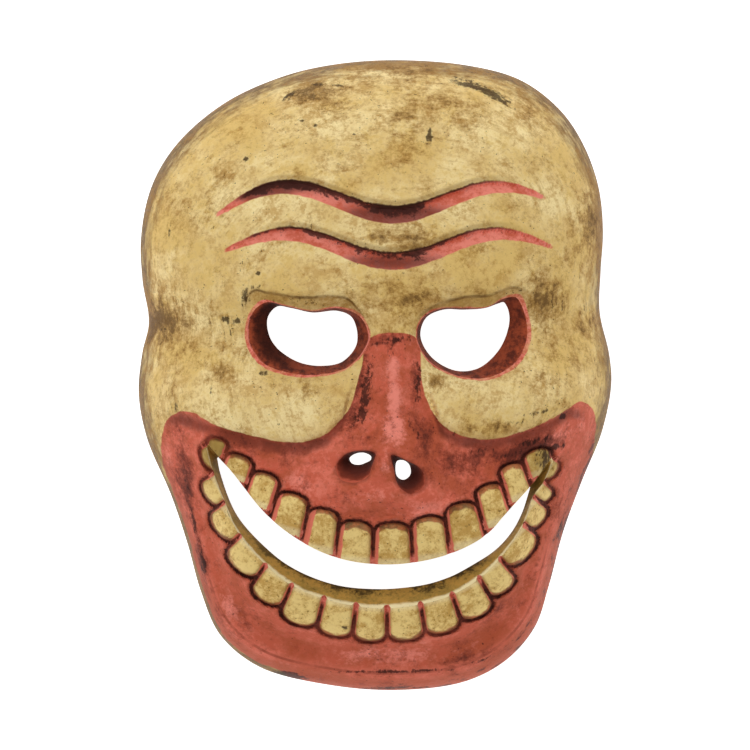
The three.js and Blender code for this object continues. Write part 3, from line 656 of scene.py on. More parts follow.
def band(inner, outer):
    """Triangles between two rings of vertex numbers, counter-clockwise with the inner ring in the middle.

    Equal rings make two triangles a step. A ring with COARSER times fewer vertices makes five a step."""
    if len(inner) == len(outer):
        a, b, c, d = inner, outer, np.roll(outer, -1), np.roll(inner, -1)
        return np.concatenate([np.stack([a, b, c], 1), np.stack([a, c, d], 1)])
    if len(inner) > len(outer):
        return band(outer, inner)[:, ::-1]
    fine = [np.roll(outer, -k)[::COARSER] for k in range(COARSER + 1)]
    here, after = inner, np.roll(inner, -1)
    steps = [(here, fine[0], fine[1]), (here, fine[1], fine[2]), (here, fine[2], after)]
    steps += [(after, fine[2], fine[3]), (after, fine[3], fine[4])]
    return np.concatenate([np.stack(step, 1) for step in steps])


def folded_cap(ring):
    """Triangles that close a ring straight across, its first half against its second half backwards."""
    half = len(ring) // 2
    near, far = ring[:half], ring[half:][::-1]
    steps = [(near[:-1], near[1:], far[:-1]), (far[:-1], near[1:], far[1:])]
    return np.concatenate([np.stack(step, 1) for step in steps])


def loft(rings, folded=False):
    """A stack of rings as vertices and triangles, closed by a fan to each end's middle or straight across."""
    starts = np.concatenate([[0], np.cumsum([len(ring) for ring in rings])])
    numbers = [np.arange(first, first + len(ring)) for first, ring in zip(starts, rings)]
    faces = [band(a, b) for a, b in zip(numbers[:-1], numbers[1:])]
    first, last = numbers[0], numbers[-1]
    if folded:
        return np.vstack(rings), [*faces, folded_cap(first), folded_cap(last)[:, ::-1]]
    vertices = np.vstack([*rings, rings[0].mean(0), rings[-1].mean(0)])
    poles = np.full(len(first), starts[-1]), np.full(len(last), starts[-1] + 1)
    faces.append(np.stack([poles[0], first, np.roll(first, -1)], 1))
    faces.append(np.stack([poles[1], np.roll(last, -1), last], 1))
    return vertices, faces


def right_side_out(vertices, triangles):
    """The triangles, turned over where the volume that they close comes out negative."""
    a, b, c = vertices[triangles].transpose(1, 0, 2)
    return triangles[:, ::-1] if (a * np.cross(b, c)).sum() < 0 else triangles


def placed(name, data):
    """An object of this name in the scene."""
    made = bpy.data.objects.new(name, data)
    bpy.context.scene.collection.objects.link(made)
    return made


def new_object(name, vertices, triangles, paints, materials):
    """A mesh object from whole arrays, with a material number for each triangle."""
    mesh = bpy.data.meshes.new(name)
    mesh.vertices.add(len(vertices))
    mesh.vertices.foreach_set("co", (vertices * MM).astype(np.float32).ravel())
    mesh.loops.add(triangles.size)
    mesh.loops.foreach_set("vertex_index", triangles.astype(np.int32).ravel())
    mesh.polygons.add(len(triangles))
    mesh.polygons.foreach_set("loop_start", np.arange(0, triangles.size, 3, dtype=np.int32))
    for material in materials:
        mesh.materials.append(material)
    mesh.polygons.foreach_set("material_index", paints.astype(np.int32))
    mesh.update(calc_edges=True)
    mesh.validate()
    return placed(name, mesh)


def face_angles():
    """Directions round the face, closer together at the grin than at the crown."""
    turn = np.arange(AROUND) / AROUND * 2 * math.pi
    return turn - GRIN_CROWDING * np.sin(turn) - math.pi / 2


def face_shares():
    """Shares of the way out, spread evenly along the dome's profile and closer where the teeth are."""
    share = np.sin(np.linspace(0.0, math.pi / 2, PROFILE_STEPS))
    rise = dome(share, np.zeros(share.shape), DOME)
    step = np.hypot(np.diff(share) * (HALF_WIDTH + HALF_HEIGHT) / 2, np.diff(rise))
    middle = (share[1:] + share[:-1]) / 2
    weight = step * (0.75 + 0.75 * smoothstep(middle, 0.35, 0.5))
    travelled = np.concatenate([[0], np.cumsum(weight)])
    return np.interp(np.linspace(0, travelled[-1], FACE_RINGS + 1)[1:], travelled, share)


def shell_rings():
    """Rings from the middle of the face out to the band, down to the rim, and up the hollow to its middle,
    each with the number of its paint."""
    fine, coarse = face_angles(), face_angles()[::COARSER]
    rings, paints = [], []

    def add(paint, angles, share, inset, height):
        """A ring at a share of the way out. Its height is a number, or a function of the places on it."""
        radius = share * (outline_radius(angles) - inset)
        x, y = radius * np.cos(angles), radius * np.sin(angles)
        z = height(x, y) if callable(height) else np.full(x.shape, float(height))
        rings.append(np.stack([x, y, z], 1))
        paints.append(paint)

    for share in face_shares():
        add(OUTSIDE, coarse if share < FACE_MIDDLE else fine, share, 0, face_form if share < 1 else SKIRT)
    for down in np.linspace(0, 1, SKIRT_RINGS + 1)[1:]:
        add(OUTSIDE, fine, 1 + (SKIRT_TUCK - 1) * down, 0, SKIRT + (RIM_ROUND - SKIRT) * down)
    for turn in (0.25 * math.pi, 0.5 * math.pi):
        inset, height = RIM_ROUND * (1 - math.cos(turn)), RIM_ROUND * (1 - math.sin(turn))
        add(OUTSIDE, fine, SKIRT_TUCK, inset, height)
    add(INSIDE, coarse, SKIRT_TUCK, WALL - RIM_ROUND, 0)
    add(INSIDE, coarse, SKIRT_TUCK, WALL, RIM_ROUND)
    for up in np.linspace(0, 1, SKIRT_RINGS // 2 + 1)[1:]:
        add(INSIDE, coarse, SKIRT_TUCK + (1 - SKIRT_TUCK) * up, WALL, RIM_ROUND + (SKIRT - RIM_ROUND) * up)
    for turn in np.linspace(1, 0, HOLLOW_RINGS + 1)[1:-1]:
        add(INSIDE, coarse, math.sin(turn * math.pi / 2), WALL, hollow_form)
    return rings, paints


def shell(materials):
    """The mask before its holes are cut."""
    rings, paints = shell_rings()
    vertices, faces = loft(rings)
    numbers = [np.full(len(part), paint) for part, paint in zip(faces, [*paints[1:], OUTSIDE, INSIDE])]
    triangles = right_side_out(vertices, np.concatenate(faces))
    return new_object("mask_shell", vertices, triangles, np.concatenate(numbers), materials)


def wall_rings(top, bottom):
    """Rings of a hole's wall, from below the hollow up to over the face, along straight slanting lines."""
    low = np.column_stack([bottom, hollow_form(*bottom.T)])
    high = np.column_stack([top, large_form(*top.T)])
    past = np.array([0, 0, CUT_PAST])
    steps = [low + (high - low) * t for t in np.linspace(0, 1, WALL_RINGS)]
    return [low - past, *steps, high + past]


def hole_cutter(hole):
    """A tool that narrows from the lip of a hole to its opening at the back."""
    return wall_rings(lip_line(hole), curve_through(hole["through"], closed=True))


def mouth_cutter():
    """The tool for the mouth: its upper and lower edges make one closed line, on the face and at the back.

    Where the two edges meet they are pushed apart to LIP_OPENING."""
    lines = []
    for edges in ((UPPER_EDGE, LOWER_EDGE), (GAP_TOP, GAP_BOTTOM)):
        above, below = (spaced(curve_through(edge), MOUTH_STATIONS) for edge in edges)
        between = below - above
        gap = np.maximum(np.linalg.norm(between, axis=1), 1e-6)[:, None]
        push = between / gap * np.maximum(0, LIP_OPENING - gap) / 2
        lines.append(np.vstack([above - push, (below + push)[::-1]]))
    return wall_rings(*lines)


def cutters(materials):
    """All cutting tools as one object, each with the number of the paint that its walls get."""
    tools = [(hole_cutter(hole), EYE) for hole in EYES]
    tools += [(hole_cutter(hole), NOSTRIL) for hole in NOSTRILS]
    parts, faces, paints, count = [], [], [], 0
    for rings, paint in [*tools, (mouth_cutter(), MOUTH)]:
        vertices, bands = loft(rings, folded=paint == MOUTH)
        triangles = right_side_out(vertices, np.concatenate(bands))
        parts.append(vertices)
        faces.append(triangles + count)
        paints.append(np.full(len(triangles), paint))
        count += len(vertices)
    joined = (np.concatenate(arrays) for arrays in (parts, faces, paints))
    return new_object("mask_cutters", *joined, materials)


def cut_mask(materials):
    """The shell with its holes cut."""
    whole, tools = shell(materials), cutters(materials)
    cut = whole.modifiers.new("holes", "BOOLEAN")
    cut.operation = "DIFFERENCE"
    cut.solver = "EXACT"
    cut.object = tools
    graph = bpy.context.evaluated_depsgraph_get()
    mesh = bpy.data.meshes.new_from_object(whole.evaluated_get(graph))
    mesh.name = "carved_mask"
    for leftover in (whole, tools):
        bpy.data.objects.remove(leftover)
    return placed("carved_mask", mesh)


def bells(spots, x, y):
    """Sum of bell-shaped spots, each with its middle, half-sizes, turn and strength."""
    total = np.zeros(x.shape)
    for u, v, wide, high, turn, strength in spots:
        c, s = math.cos(math.radians(turn)), math.sin(math.radians(turn))
        right, up = x - u * HALF_WIDTH, y - v * HALF_HEIGHT
        total += strength * bell(right * c + up * s, wide) * bell(up * c - right * s, high)
    return total


def paint_guides(mesh):
    """Point attributes that the paints read, in millimetres or as shares, from each point's place."""
    p = np.empty(len(mesh.vertices) * 3, np.float32)
    mesh.vertices.foreach_get("co", p)
    x, y, z = p.reshape(-1, 3).astype(float).T / MM
    u, v, share = shares_of(x, y)
    below_wrinkle, wrinkle_width, in_wrinkle = wrinkle_field(x, y)
    below_lid, lid_window = lid_field(x, y)
    above_band = smoothstep(z, SKIRT, SKIRT + BAND_FADE)
    at_jaw = smoothstep(-v, *BORDER_FADE)
    fade = (1 - smoothstep(v, *CREASE_FADE)) * (1 - smoothstep(share, 0.85, 0.97))
    guides = {
        "red_depth": depth_inside(curve_through(RED_PAINT, closed=True), x, y),
        "wrinkle_below": below_wrinkle,
        "wrinkle_width": wrinkle_width,
        "wrinkle_depth": in_wrinkle,
        "lid_below": below_lid,
        "lid_window": lid_window,
        "eye_depth": np.maximum(*[depth_inside(lip_line(hole), x, y) for hole in EYES]),
        "nostril_depth": np.maximum(*[depth_inside(lip_line(hole), x, y) for hole in NOSTRILS]),
        "crease": bell(above_cheek_line(u, v) + SHADE_PLACE, SHADE_HALF) * fade,
        "channel": jaw_channel(share, v),
        "border": bell(share - BORDER_PAINT_SHARE, BORDER_PAINT_HALF) * at_jaw,
        "patina": bells(PATINA, x, y) * above_band,
        "red_patina": bells(RED_PATINA, x, y) * above_band,
        "lit": bells(LIT, x, y),
        "mouth_corner": bells(MOUTH_CORNERS, x, y),
        "chin": smoothstep(-v, 0.76, 0.82),
        "height": z,
        "out": np.where(z < SKIRT, 1, share),
        "mark": bells(MARKS, x, y) * above_band,
        "sunk": large_form(x, y) - z,
        "across": x,
    }
    guides.update({"tooth_" + name: values for name, values in tooth_field(x, y).items()})
    for name, values in guides.items():
        layer = mesh.attributes.new(name, "FLOAT", "POINT")
        layer.data.foreach_set("value", np.asarray(values, np.float32))
    angle = np.arctan2(y, x)
    brushed = [share * STROKES_OUT, np.cos(angle) * STROKES_ROUND, np.sin(angle) * STROKES_ROUND]
    layer = mesh.attributes.new("brushed", "FLOAT_VECTOR", "POINT")
    layer.data.foreach_set("vector", np.stack(brushed, 1).astype(np.float32).ravel())


# Paints

def srgb(*levels):
    """A colour given as red, green and blue from 0 to 255, as Blender's linear values."""
    shares = [level / 255 for level in levels]
    return (*[s / 12.92 if s <= 0.04045 else ((s + 0.055) / 1.055) ** 2.4 for s in shares], 1.0)


CREAM = srgb(224, 190, 116)
CREAM_PALE = srgb(250, 228, 168)
OCHRE = srgb(190, 145, 70)
OLIVE = srgb(160, 128, 62)
# brown of the glaze of age, and also of the painted shade under the lids
PATINA_AND_SHADE_BROWN = srgb(168, 124, 58)
TAN = srgb(120, 86, 38)
TAN_DARK = srgb(96, 66, 32)
EDGE_BROWN = srgb(88, 64, 36)
WORN_WOOD = srgb(138, 103, 62)
UMBER = srgb(50, 34, 20)
SOOT = srgb(28, 18, 12)
CORAL = srgb(204, 98, 74)
CORAL_PALE = srgb(226, 120, 98)
CORAL_LIT = srgb(240, 140, 122)
RED_EARTH = srgb(176, 82, 52)
RED_SHADE = srgb(140, 62, 44)
MAROON = srgb(88, 40, 32)
DARK_MAROON = srgb(44, 22, 18)
HOLLOW_DARK = srgb(92, 64, 40)
HOLLOW_PALE = srgb(136, 98, 60)
IVORY_PALE = srgb(238, 208, 134)
IVORY_LIT = srgb(250, 234, 186)
GLOSS = 0.08


class Value:
    """A socket of a material. Arithmetic on it adds Math nodes, so a formula reads as written."""

    def __init__(self, paint, socket):
        self.paint, self.socket = paint, socket

    def math(self, operation, *others):
        return self.paint.node("ShaderNodeMath", {"operation": operation}, [self, *others])

    def __add__(self, other):
        return self.math("ADD", other)

    __radd__ = __add__

    def __mul__(self, other):
        return self.math("MULTIPLY", other)

    __rmul__ = __mul__

    def __sub__(self, other):
        return self.math("SUBTRACT", other)

    def __rsub__(self, other):
        return self.paint.node("ShaderNodeMath", {"operation": "SUBTRACT"}, [other, self])

    def __truediv__(self, other):
        return self.math("DIVIDE", other)

    def larger(self, other):
        return self.math("MAXIMUM", other)

    def size(self):
        return self.math("ABSOLUTE")

    def step(self, start, end):
        """0 before start, 1 after end and an S-curve between them; start may be the larger."""
        settings = {"interpolation_type": "SMOOTHSTEP"}
        if start > end:
            return self.paint.node("ShaderNodeMapRange", settings, [self, end, start, 1.0, 0.0])
        return self.paint.node("ShaderNodeMapRange", settings, [self, start, end, 0.0, 1.0])


class Paint:
    """A material whose nodes are made from Python expressions."""

    def __init__(self, name):
        self.material = bpy.data.materials.new(name)
        self.material.use_nodes = True
        self.tree = self.material.node_tree
        self.shader = self.tree.nodes["Principled BSDF"]
        self.shader.inputs["Specular IOR Level"].default_value = GLOSS
        self.place = self.node("ShaderNodeTexCoord", output="Object")

    def node(self, kind, settings=None, inputs=(), output=0):
        """A node of a kind. Its settings come first, then its sockets' values or links, by number or name."""
        made = self.tree.nodes.new(kind)
        for key, value in (settings or {}).items():
            setattr(made, key, value)
        pairs = inputs.items() if isinstance(inputs, dict) else enumerate(inputs)
        for key, value in pairs:
            self.join(made.inputs[key], value)
        return Value(self, made.outputs[output])

    def join(self, socket, value):
        if isinstance(value, Value):
            self.tree.links.new(value.socket, socket)
        else:
            socket.default_value = value

    def guide(self, name):
        return self.node("ShaderNodeAttribute", {"attribute_name": name}, output="Fac")

    def mix(self, share, under, over):
        settings = {"data_type": "RGBA", "clamp_factor": True}
        return self.node("ShaderNodeMix", settings, {0: share, 6: under, 7: over}, output=2)

    def stretched(self, scale, turn=(0, 0, 0)):
        """The place on the mask, turned and then scaled, for patterns that run one way."""
        return self.node("ShaderNodeMapping", {}, {"Vector": self.place, "Rotation": turn, "Scale": scale})

    def noise(self, size, detail=4.0, roughness=0.55, place=None):
        """Cloudy noise with patches of about this many millimetres, mostly between 0.3 and 0.7."""
        place = place or self.place
        inputs = {"Vector": place, "Scale": 1 / (size * MM), "Detail": detail, "Roughness": roughness}
        return self.node("ShaderNodeTexNoise", {}, inputs)

    def strokes(self):
        """Noise drawn out along the brush strokes, which run round the face."""
        place = self.node("ShaderNodeAttribute", {"attribute_name": "brushed"}, output="Vector")
        inputs = {"Vector": place, "Scale": 1.0, "Detail": 5.0, "Roughness": 0.65}
        return self.node("ShaderNodeTexNoise", {}, inputs)

    def finish(self, colour, roughness, height, depth):
        """Links the colour, the roughness and a bump of the given depth in millimetres."""
        bump = self.node("ShaderNodeBump", {}, {"Strength": 1.0, "Distance": depth * MM, "Height": height})
        self.join(self.shader.inputs["Base Color"], colour)
        self.join(self.shader.inputs["Roughness"], roughness)
        self.join(self.shader.inputs["Normal"], bump)
        return self.material


def aged(paint, colour, patina, thin_glaze, thick_glaze):
    """A paint with age on it: brown glaze in strokes and clouds, and fine scratches."""
    strokes, cloud = paint.strokes(), paint.noise(20, 6, 0.62)
    small, fleck = paint.noise(5, 6, 0.7), paint.noise(1.3, 4, 0.75)
    thick = patina + (strokes - 0.5) * 1.1 + (cloud - 0.5) * 2.0 + (small - 0.5) * 2.0 + (fleck - 0.5) * 1.6
    colour = paint.mix(thick.step(0.0, 0.85) * 0.75, colour, thin_glaze)
    colour = paint.mix(thick.step(0.55, 1.35) * 0.8, colour, thick_glaze)
    scratch = paint.noise(1.1, 3, 0.6, paint.stretched((1, 5, 1), (0, 0, -0.45))).step(0.61, 0.68)
    return paint.mix(scratch * cloud.step(0.48, 0.58) * 0.35, colour, UMBER)


def skull_cream(paint):
    """The skull's cream, mottled with ochre at every size, and brown along the outline."""
    cloud, patch, fleck = paint.noise(32, 5, 0.65), paint.noise(9, 7, 0.7), paint.noise(1.6, 4, 0.75)
    colour = paint.mix((cloud * 0.45 + patch * 0.3 + fleck * 0.25).step(0.43, 0.57), CREAM, CREAM_PALE)
    colour = paint.mix((patch * 0.6 + fleck * 0.4).step(0.46, 0.6) * 0.75, colour, OCHRE)
    colour = paint.mix(paint.strokes().step(0.5, 0.64) * cloud.step(0.45, 0.57) * 0.32, colour, OCHRE)
    # Brown along the outline: partly patina, partly painted shade where the dome turns away from the light
    edge = paint.guide("out") + (paint.strokes() - 0.5) * 0.12 + (patch - 0.5) * 0.08
    colour = paint.mix(edge.step(0.93, 0.98) * 0.6, colour, TAN)
    # Its last band, darkest: worn wood, with painted shade
    worn = paint.mix((fleck * 0.5 + paint.strokes() * 0.5).step(0.44, 0.58), EDGE_BROWN, WORN_WOOD)
    return paint.mix(edge.step(0.965, 0.99) * 0.85, colour, worn)


def gum_red(paint):
    """The coral red of nose, gums and jaw, with painted shade in the creases and towards the outline, and
    painted highlights, as along the border of the jaw.
    """
    cloud, patch, fleck = paint.noise(28, 5, 0.65), paint.noise(8, 6, 0.68), paint.noise(1.6, 4, 0.75)
    mottled = (patch * 0.5 + fleck * 0.3 + paint.strokes() * 0.2).step(0.44, 0.56)
    colour = paint.mix(mottled, CORAL, CORAL_PALE)
    colour = paint.mix((cloud * 0.6 + patch * 0.4).step(0.45, 0.57) * 0.85, colour, RED_EARTH)
    # Painted shade in the channel round the lower teeth
    colour = paint.mix(paint.guide("channel") * 0.35, colour, RED_EARTH)
    # Painted highlights on the nose, the gums and the jaw
    lit = (paint.guide("lit") + (patch - 0.5) * 2 + (fleck - 0.5)).step(0.2, 0.9)
    colour = paint.mix(lit, colour, CORAL_LIT)
    border = paint.guide("border")
    # Painted highlight along the jaw's border, and a ragged painted shade line down its middle
    colour = paint.mix(border * 0.5, colour, CORAL_PALE)
    colour = paint.mix(border.step(0.8, 0.97) * (patch * 3 - 0.9) * 0.7, colour, RED_SHADE)
    out = paint.guide("out")
    # Painted shade towards the outline, where the jaw turns away from the light
    colour = paint.mix(out.step(0.955, 0.975) * 0.8, colour, RED_EARTH)
    # Painted shade in the crease under the cheeks
    colour = paint.mix((paint.guide("crease") + (patch - 0.5) * 1.5).step(0.2, 1.2) * 0.75, colour, MAROON)
    dirt = out * 12 - 12 + paint.guide("across") * 0.006 + (patch - 0.5) * 2.4 + (fleck - 0.5)
    dirt = dirt + (paint.strokes() - 0.5) * 2.5
    return paint.mix(dirt.step(0.3, 0.6) * 0.8, colour, DARK_MAROON)


def tooth_ivory(paint):
    """Each tooth's own ivory, browner towards the mouth and in its middle, painted shade round its edge."""
    patch, fleck, tone = paint.noise(6, 6, 0.68), paint.noise(1.4, 4, 0.75), paint.guide("tooth_tone")
    along = paint.guide("tooth_along")
    brown = (patch - 0.5) * 3.0 + (fleck - 0.5) * 2.2 + along.step(1.0, 0.0) * 0.15 + tone * 0.4
    colour = paint.mix(brown.step(-0.1, 0.8) * 0.85, IVORY_PALE, OCHRE)
    # Painted shade round the tooth's edge, where it rounds down into the groove
    shade = (paint.guide("tooth_depth") + (fleck - 0.5) * 1.5).step(1.5, 0.0)
    colour = paint.mix(shade * 0.6, colour, TAN)
    # Painted highlight along the tooth's end at the mouth
    colour = paint.mix(along.step(0.17, 0.03) * 0.4, colour, IVORY_LIT)
    black = fleck.step(0.62, 0.66) * (patch + tone * 0.1).step(0.5, 0.56)
    return paint.mix(black * 0.75, colour, UMBER)


def add_wrinkles(paint, colour, wobble, patch, small):
    """The wrinkles: coral, dark under their steep upper edge with soot and painted shade, a thin dark line
    along that edge, and a painted shade over it.
    """
    below, width, inside = (paint.guide("wrinkle_" + name) for name in ("below", "width", "depth"))
    stripe = (inside + 0.2 + wobble * 1.2).step(-0.3, 0.3) * width.step(0.4, 1.4)
    # Painted shade over the steep upper edge
    over = (below + 1.4).size().step(2.0, 0.2) * inside.step(-3.5, -2.0) * width.step(3.0, 6.0)
    colour = paint.mix(over * 0.45, colour, TAN)
    coral = paint.mix((patch * 0.6 + small * 0.4).step(0.4, 0.58), CORAL, CORAL_LIT)
    colour = paint.mix(stripe, colour, coral)
    dull = (paint.guide("red_patina") + (patch - 0.5) + (small - 0.5)).step(0.1, 0.9)
    colour = paint.mix(stripe * dull * 0.75, colour, MAROON)
    # Dark under the steep upper edge: soot, and painted shade where that edge stands over the wrinkle
    soot_and_shade = 0.36 - below / width.larger(1.0) + (small - 0.5) * 1.4 + (patch - 0.5) * 1.8
    soot_and_shade = (soot_and_shade + paint.guide("red_patina") * 0.3).step(0.0, 0.3) * width.step(2.8, 3.8)
    soot_and_shade = soot_and_shade * paint.guide("across").step(45, 28)
    colour = paint.mix(soot_and_shade * stripe * 0.85, colour, DARK_MAROON)
    arris = (below + wobble * 1.5).size() - (small - 0.5) * 1.5
    arris = arris.step(0.75, 0.2) * width.step(3.5, 5.5) * inside.step(-1.5, -0.8)
    return paint.mix(arris * 0.75, colour, UMBER)


def add_eyes(paint, colour, wobble, patch, small):
    """The recessed lid over each eye, olive painted shade under its crease, the coral line round the hole."""
    lid, window = paint.guide("lid_below") + wobble, paint.guide("lid_window")
    # Painted shade in the recessed band under the crease, strongest just under it
    shade = lid.step(-0.8, 0.6) * lid.step(7, 3) * window * (small * 2.4 - 0.5)
    colour = paint.mix(shade * 0.7, colour, PATINA_AND_SHADE_BROWN)
    crease = lid.size().step(0.9, 0.2) * window * (patch * 3 - 1)
    colour = paint.mix(crease * 0.8, colour, TAN_DARK)
    rim = (paint.guide("eye_depth") + wobble * 1.2).step(-0.45, -0.15)
    return paint.mix(rim * (patch * 2 - 0.1), colour, paint.mix(small.step(0.4, 0.58), CORAL_LIT, CORAL))


def add_teeth(paint, colour, wobble, patch, small):
    """The teeth, each with a shaded collar under the gum, the gum's paint over its sides and a dark outline.

    The outline is ragged, coral where it starts at the mouth, and weaker at the corners and the chin."""
    depth, along = paint.guide("tooth_depth") + wobble * 0.9, paint.guide("tooth_along")
    at_corner = paint.guide("mouth_corner")
    # Painted shade on the gum round each tooth and in the gaps between teeth
    colour = paint.mix((depth + (small - 0.5) * 5).step(-3.2, -0.8) * 0.5, colour, MAROON)
    is_tooth = depth.step(-0.15, 0.25)
    colour = paint.mix(is_tooth, colour, paint.mix(at_corner * 0.7, tooth_ivory(paint), OLIVE))
    collar = (paint.guide("tooth_collar") + wobble * 3).step(-0.6, 0.4) * is_tooth
    shade = paint.mix((patch * 0.5 + small * 0.5).step(0.4, 0.6), MAROON, RED_EARTH)
    colour = paint.mix(collar * 0.8, colour, shade)
    lapped = (paint.guide("tooth_lapped") + wobble * 1.6).step(-0.2, 0.2) * is_tooth
    colour = paint.mix(lapped * along.step(1.15, 0.9), colour, CORAL_PALE)
    across_line = (depth + TOOTH_GAP / 2).size() - (small - 0.5) * 2.4 - (patch - 0.5) * 1.2 - along * 0.35
    line = across_line.step(0.75, 0.25) * (1 - 0.8 * at_corner) * (1 - 0.5 * paint.guide("chin"))
    colour = paint.mix(line * 0.88, colour, paint.mix(small.step(0.44, 0.58), MAROON, DARK_MAROON))
    tip = depth.step(0.4, -0.1) * depth.step(-2.2, -1.6) * along.step(0.22, 0.06) * along.step(-0.2, -0.1)
    return paint.mix(tip * 0.85, colour, paint.mix(small.step(0.44, 0.58), CORAL_LIT, CORAL))


def face_paint():
    """The outside: cream skull, coral nose, gums and jaw, ivory teeth, dark marks and worn sides."""
    paint = Paint("face_paint")
    wobble, patch, small = paint.noise(4, 4) - 0.5, paint.noise(10, 5, 0.62), paint.noise(2.0, 5, 0.75)
    red = (paint.guide("red_depth") + wobble * 1.4).step(-0.25, 0.25)
    colour = aged(paint, skull_cream(paint), paint.guide("patina"), PATINA_AND_SHADE_BROWN, TAN_DARK)
    coral = aged(paint, gum_red(paint), paint.guide("red_patina"), RED_SHADE, MAROON)
    colour = paint.mix(red, colour, coral)
    for add in (add_wrinkles, add_eyes, add_teeth):
        colour = add(paint, colour, wobble, patch, small)
    # Painted shade round the nostrils
    dark = (paint.guide("nostril_depth") + wobble * 3).step(-1.4, 0.3)
    colour = paint.mix(dark * 0.4, colour, MAROON)
    streak = paint.noise(1.6, 4, 0.7, paint.stretched((1, 0.35, 1)))
    # Dark marks, among them the painted shade down the left side of the nose
    ragged = paint.guide("mark") + (streak - 0.5) * 1.8 + (small - 0.5) * 1.2 + (paint.strokes() - 0.5) * 1.6
    ragged = ragged.step(0.42, 0.85)
    colour = paint.mix(ragged * 0.85, colour, paint.mix(red, UMBER, DARK_MAROON))
    speck = paint.noise(1.1, 2, 0.5).step(0.68, 0.73) * paint.noise(14, 3).step(0.45, 0.58)
    colour = paint.mix(speck * 0.85, colour, SOOT)
    side = (paint.guide("height") + wobble * 30 + (paint.strokes() - 0.5) * 40).step(28, 16)
    worn = paint.mix((paint.strokes() * 0.5 + small * 0.5).step(0.42, 0.6), WORN_WOOD, EDGE_BROWN)
    colour = paint.mix(side, colour, worn)
    return paint.finish(colour, 0.45 + 0.3 * patch, small + 0.6 * paint.strokes(), 0.4)


def bare_wood():
    """The hollow and the rim: brown wood with a long grain."""
    paint = Paint("bare_wood")
    grain = paint.noise(6, 6, 0.6, paint.stretched((1, 0.12, 1)))
    colour = paint.mix(grain.step(0.35, 0.65), HOLLOW_DARK, HOLLOW_PALE)
    stained = paint.noise(20, 3).step(0.5, 0.75)
    return paint.finish(paint.mix(stained * 0.6, colour, UMBER), 0.62 + 0.2 * grain, grain, 0.6)


def eye_wall():
    """The walls of the eye holes: coral at the lip, then streaky red and maroon, darkest at the left."""
    paint = Paint("eye_wall")
    patch, small = paint.noise(5, 5, 0.65), paint.noise(1.6, 4, 0.75, paint.stretched((1, 1, 0.3)))
    sunk = paint.guide("sunk") + (patch - 0.5) * 1.5 + (small - 0.5)
    wall = paint.mix((patch * 0.6 + small * 0.4).step(0.4, 0.62) * 0.9, RED_EARTH, MAROON)
    colour = paint.mix(sunk.step(0.6, 1.4), CORAL_LIT, wall)
    # Painted shade, deeper into the hole and most on the left eye's outer wall, which faces away from the
    # light
    left = paint.guide("across").step(-28, -42)
    colour = paint.mix(sunk.step(1.0, 5.0) * (0.25 + 0.6 * left), colour, DARK_MAROON)
    return paint.finish(colour, 0.6 + 0.2 * patch, small, 0.4)


def nostril_wall():
    """The nostrils' walls: red earth at the lip, going to maroon."""
    paint = Paint("nostril_wall")
    small = paint.noise(3, 5, 0.65)
    sunk = paint.guide("sunk") + (small - 0.5) * 6
    # Painted shade: the walls grow darker deeper into the nostril
    colour = paint.mix(sunk.step(0.5, 3.0), CORAL, RED_SHADE)
    colour = paint.mix(sunk.step(2.0, 8.0) * 0.8, colour, MAROON)
    return paint.finish(colour, 0.8, small, 0.4)


def mouth_ledge():
    """The walls of the mouth: pale at the teeth as a painted highlight, then yellow ochre, and dark along the
    inner edge with patina and painted shade.
    """
    paint = Paint("mouth_ledge")
    patch, small = paint.noise(9, 6, 0.65, paint.stretched((1, 2.2, 1))), paint.noise(1.5, 5, 0.75)
    sunk = paint.guide("sunk") + (patch - 0.5) * 3
    colour = paint.mix((patch * 0.5 + small * 0.5).step(0.42, 0.58), OCHRE, OLIVE)
    # Painted highlight along the edge at the teeth
    colour = paint.mix(sunk.step(2.4, 0.8), colour, IVORY_LIT)
    # Darker further in: patina and marks, with painted shade
    dark = (sunk - 5.5) * 0.14 + (patch - 0.5) * 2.6 + (small - 0.5) * 1.8 + paint.guide("mark")
    at_corner = paint.guide("across").size().step(35, 62)
    colour = paint.mix(dark.step(0.0, 0.8) * (0.85 - 0.6 * at_corner), colour, UMBER)
    colour = paint.mix(small.step(0.61, 0.67) * 0.6, colour, SOOT)
    return paint.finish(colour, 0.5 + 0.25 * patch, small, 0.3)


def carved_mask():
    """The finished mask: carved, cut, painted, and riding on the frame in place of its plain solid."""
    materials = [face_paint(), bare_wood(), eye_wall(), nostril_wall(), mouth_ledge()]
    mask = cut_mask(materials)
    mesh = mask.data
    paint_guides(mesh)
    mesh.shade_smooth()
    mesh.set_sharp_from_angle(angle=math.radians(SHARP_ANGLE))
    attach(mask, "root")
    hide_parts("mask")


# The floor, the light and the camera

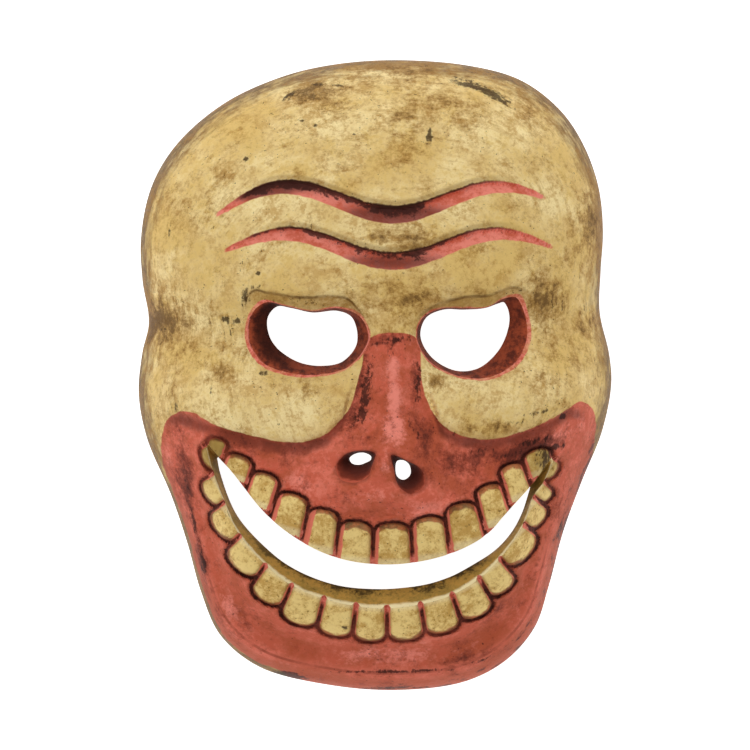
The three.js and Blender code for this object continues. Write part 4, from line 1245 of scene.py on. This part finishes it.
FLOOR_SIZE = 6.0
FLOOR_GLOW = 1.0
FLOOR_DROP = 0.0003  # keeps the floor clear of the rim
WORLD_STRENGTH = 0.45
LIGHT_AIM = 0.05  # height on the mask that the lights point at
CAMERA_DISTANCE = 8.0
SENSOR = 36.0
FRAME_WIDTH = 2 * HALF_WIDTH * MM * 750 / 472.6  # the outline is 472.6 pixels wide in a frame of 750


def floor():
    """A pale floor that glows a little, so that it also shows pale through the holes."""
    half = FLOOR_SIZE / 2
    corners = [(-half, -half, 0), (half, -half, 0), (half, half, 0), (-half, half, 0)]
    mesh = bpy.data.meshes.new("floor")
    mesh.from_pydata(corners, [], [(0, 1, 2, 3)])
    made = placed("floor", mesh)
    made.location.z = -FLOOR_DROP
    paint = Paint("floor")
    settings = {"Base Color": (0.9, 0.9, 0.9, 1), "Roughness": 0.9}
    settings.update({"Emission Color": (1, 1, 1, 1), "Emission Strength": FLOOR_GLOW})
    for name, value in settings.items():
        paint.shader.inputs[name].default_value = value
    mesh.materials.append(paint.material)


def area_light(name, place, size, power):
    """A square soft light that points at the middle of the mask."""
    data = bpy.data.lights.new(name, "AREA")
    data.size = size
    data.energy = power
    lamp = placed(name, data)
    lamp.location = place
    aim = Vector(place) - Vector((0, 0, LIGHT_AIM))
    lamp.rotation_euler = aim.to_track_quat("Z", "Y").to_euler()


def light_and_camera():
    """Soft light from beyond the crown and a weaker one from the left, and a long lens straight above."""
    scene = bpy.context.scene
    area_light("key", (-0.15, 0.95, 1.45), 0.9, 10)
    area_light("fill", (-0.4, -0.6, 1.6), 1.2, 4)
    world = bpy.data.worlds.new("studio")
    world.use_nodes = True
    background = world.node_tree.nodes["Background"].inputs
    background["Color"].default_value = (1, 1, 1, 1)
    background["Strength"].default_value = WORLD_STRENGTH
    scene.world = world
    scene.view_settings.view_transform = "Standard"
    data = bpy.data.cameras.new("camera")
    data.sensor_width = SENSOR
    data.lens = SENSOR * (CAMERA_DISTANCE - SKIRT * MM) / FRAME_WIDTH
    data.clip_end = 100
    camera = placed("camera", data)
    camera.location = (0, 0, CAMERA_DISTANCE)
    scene.camera = camera


carved_mask()
floor()
light_and_camera()
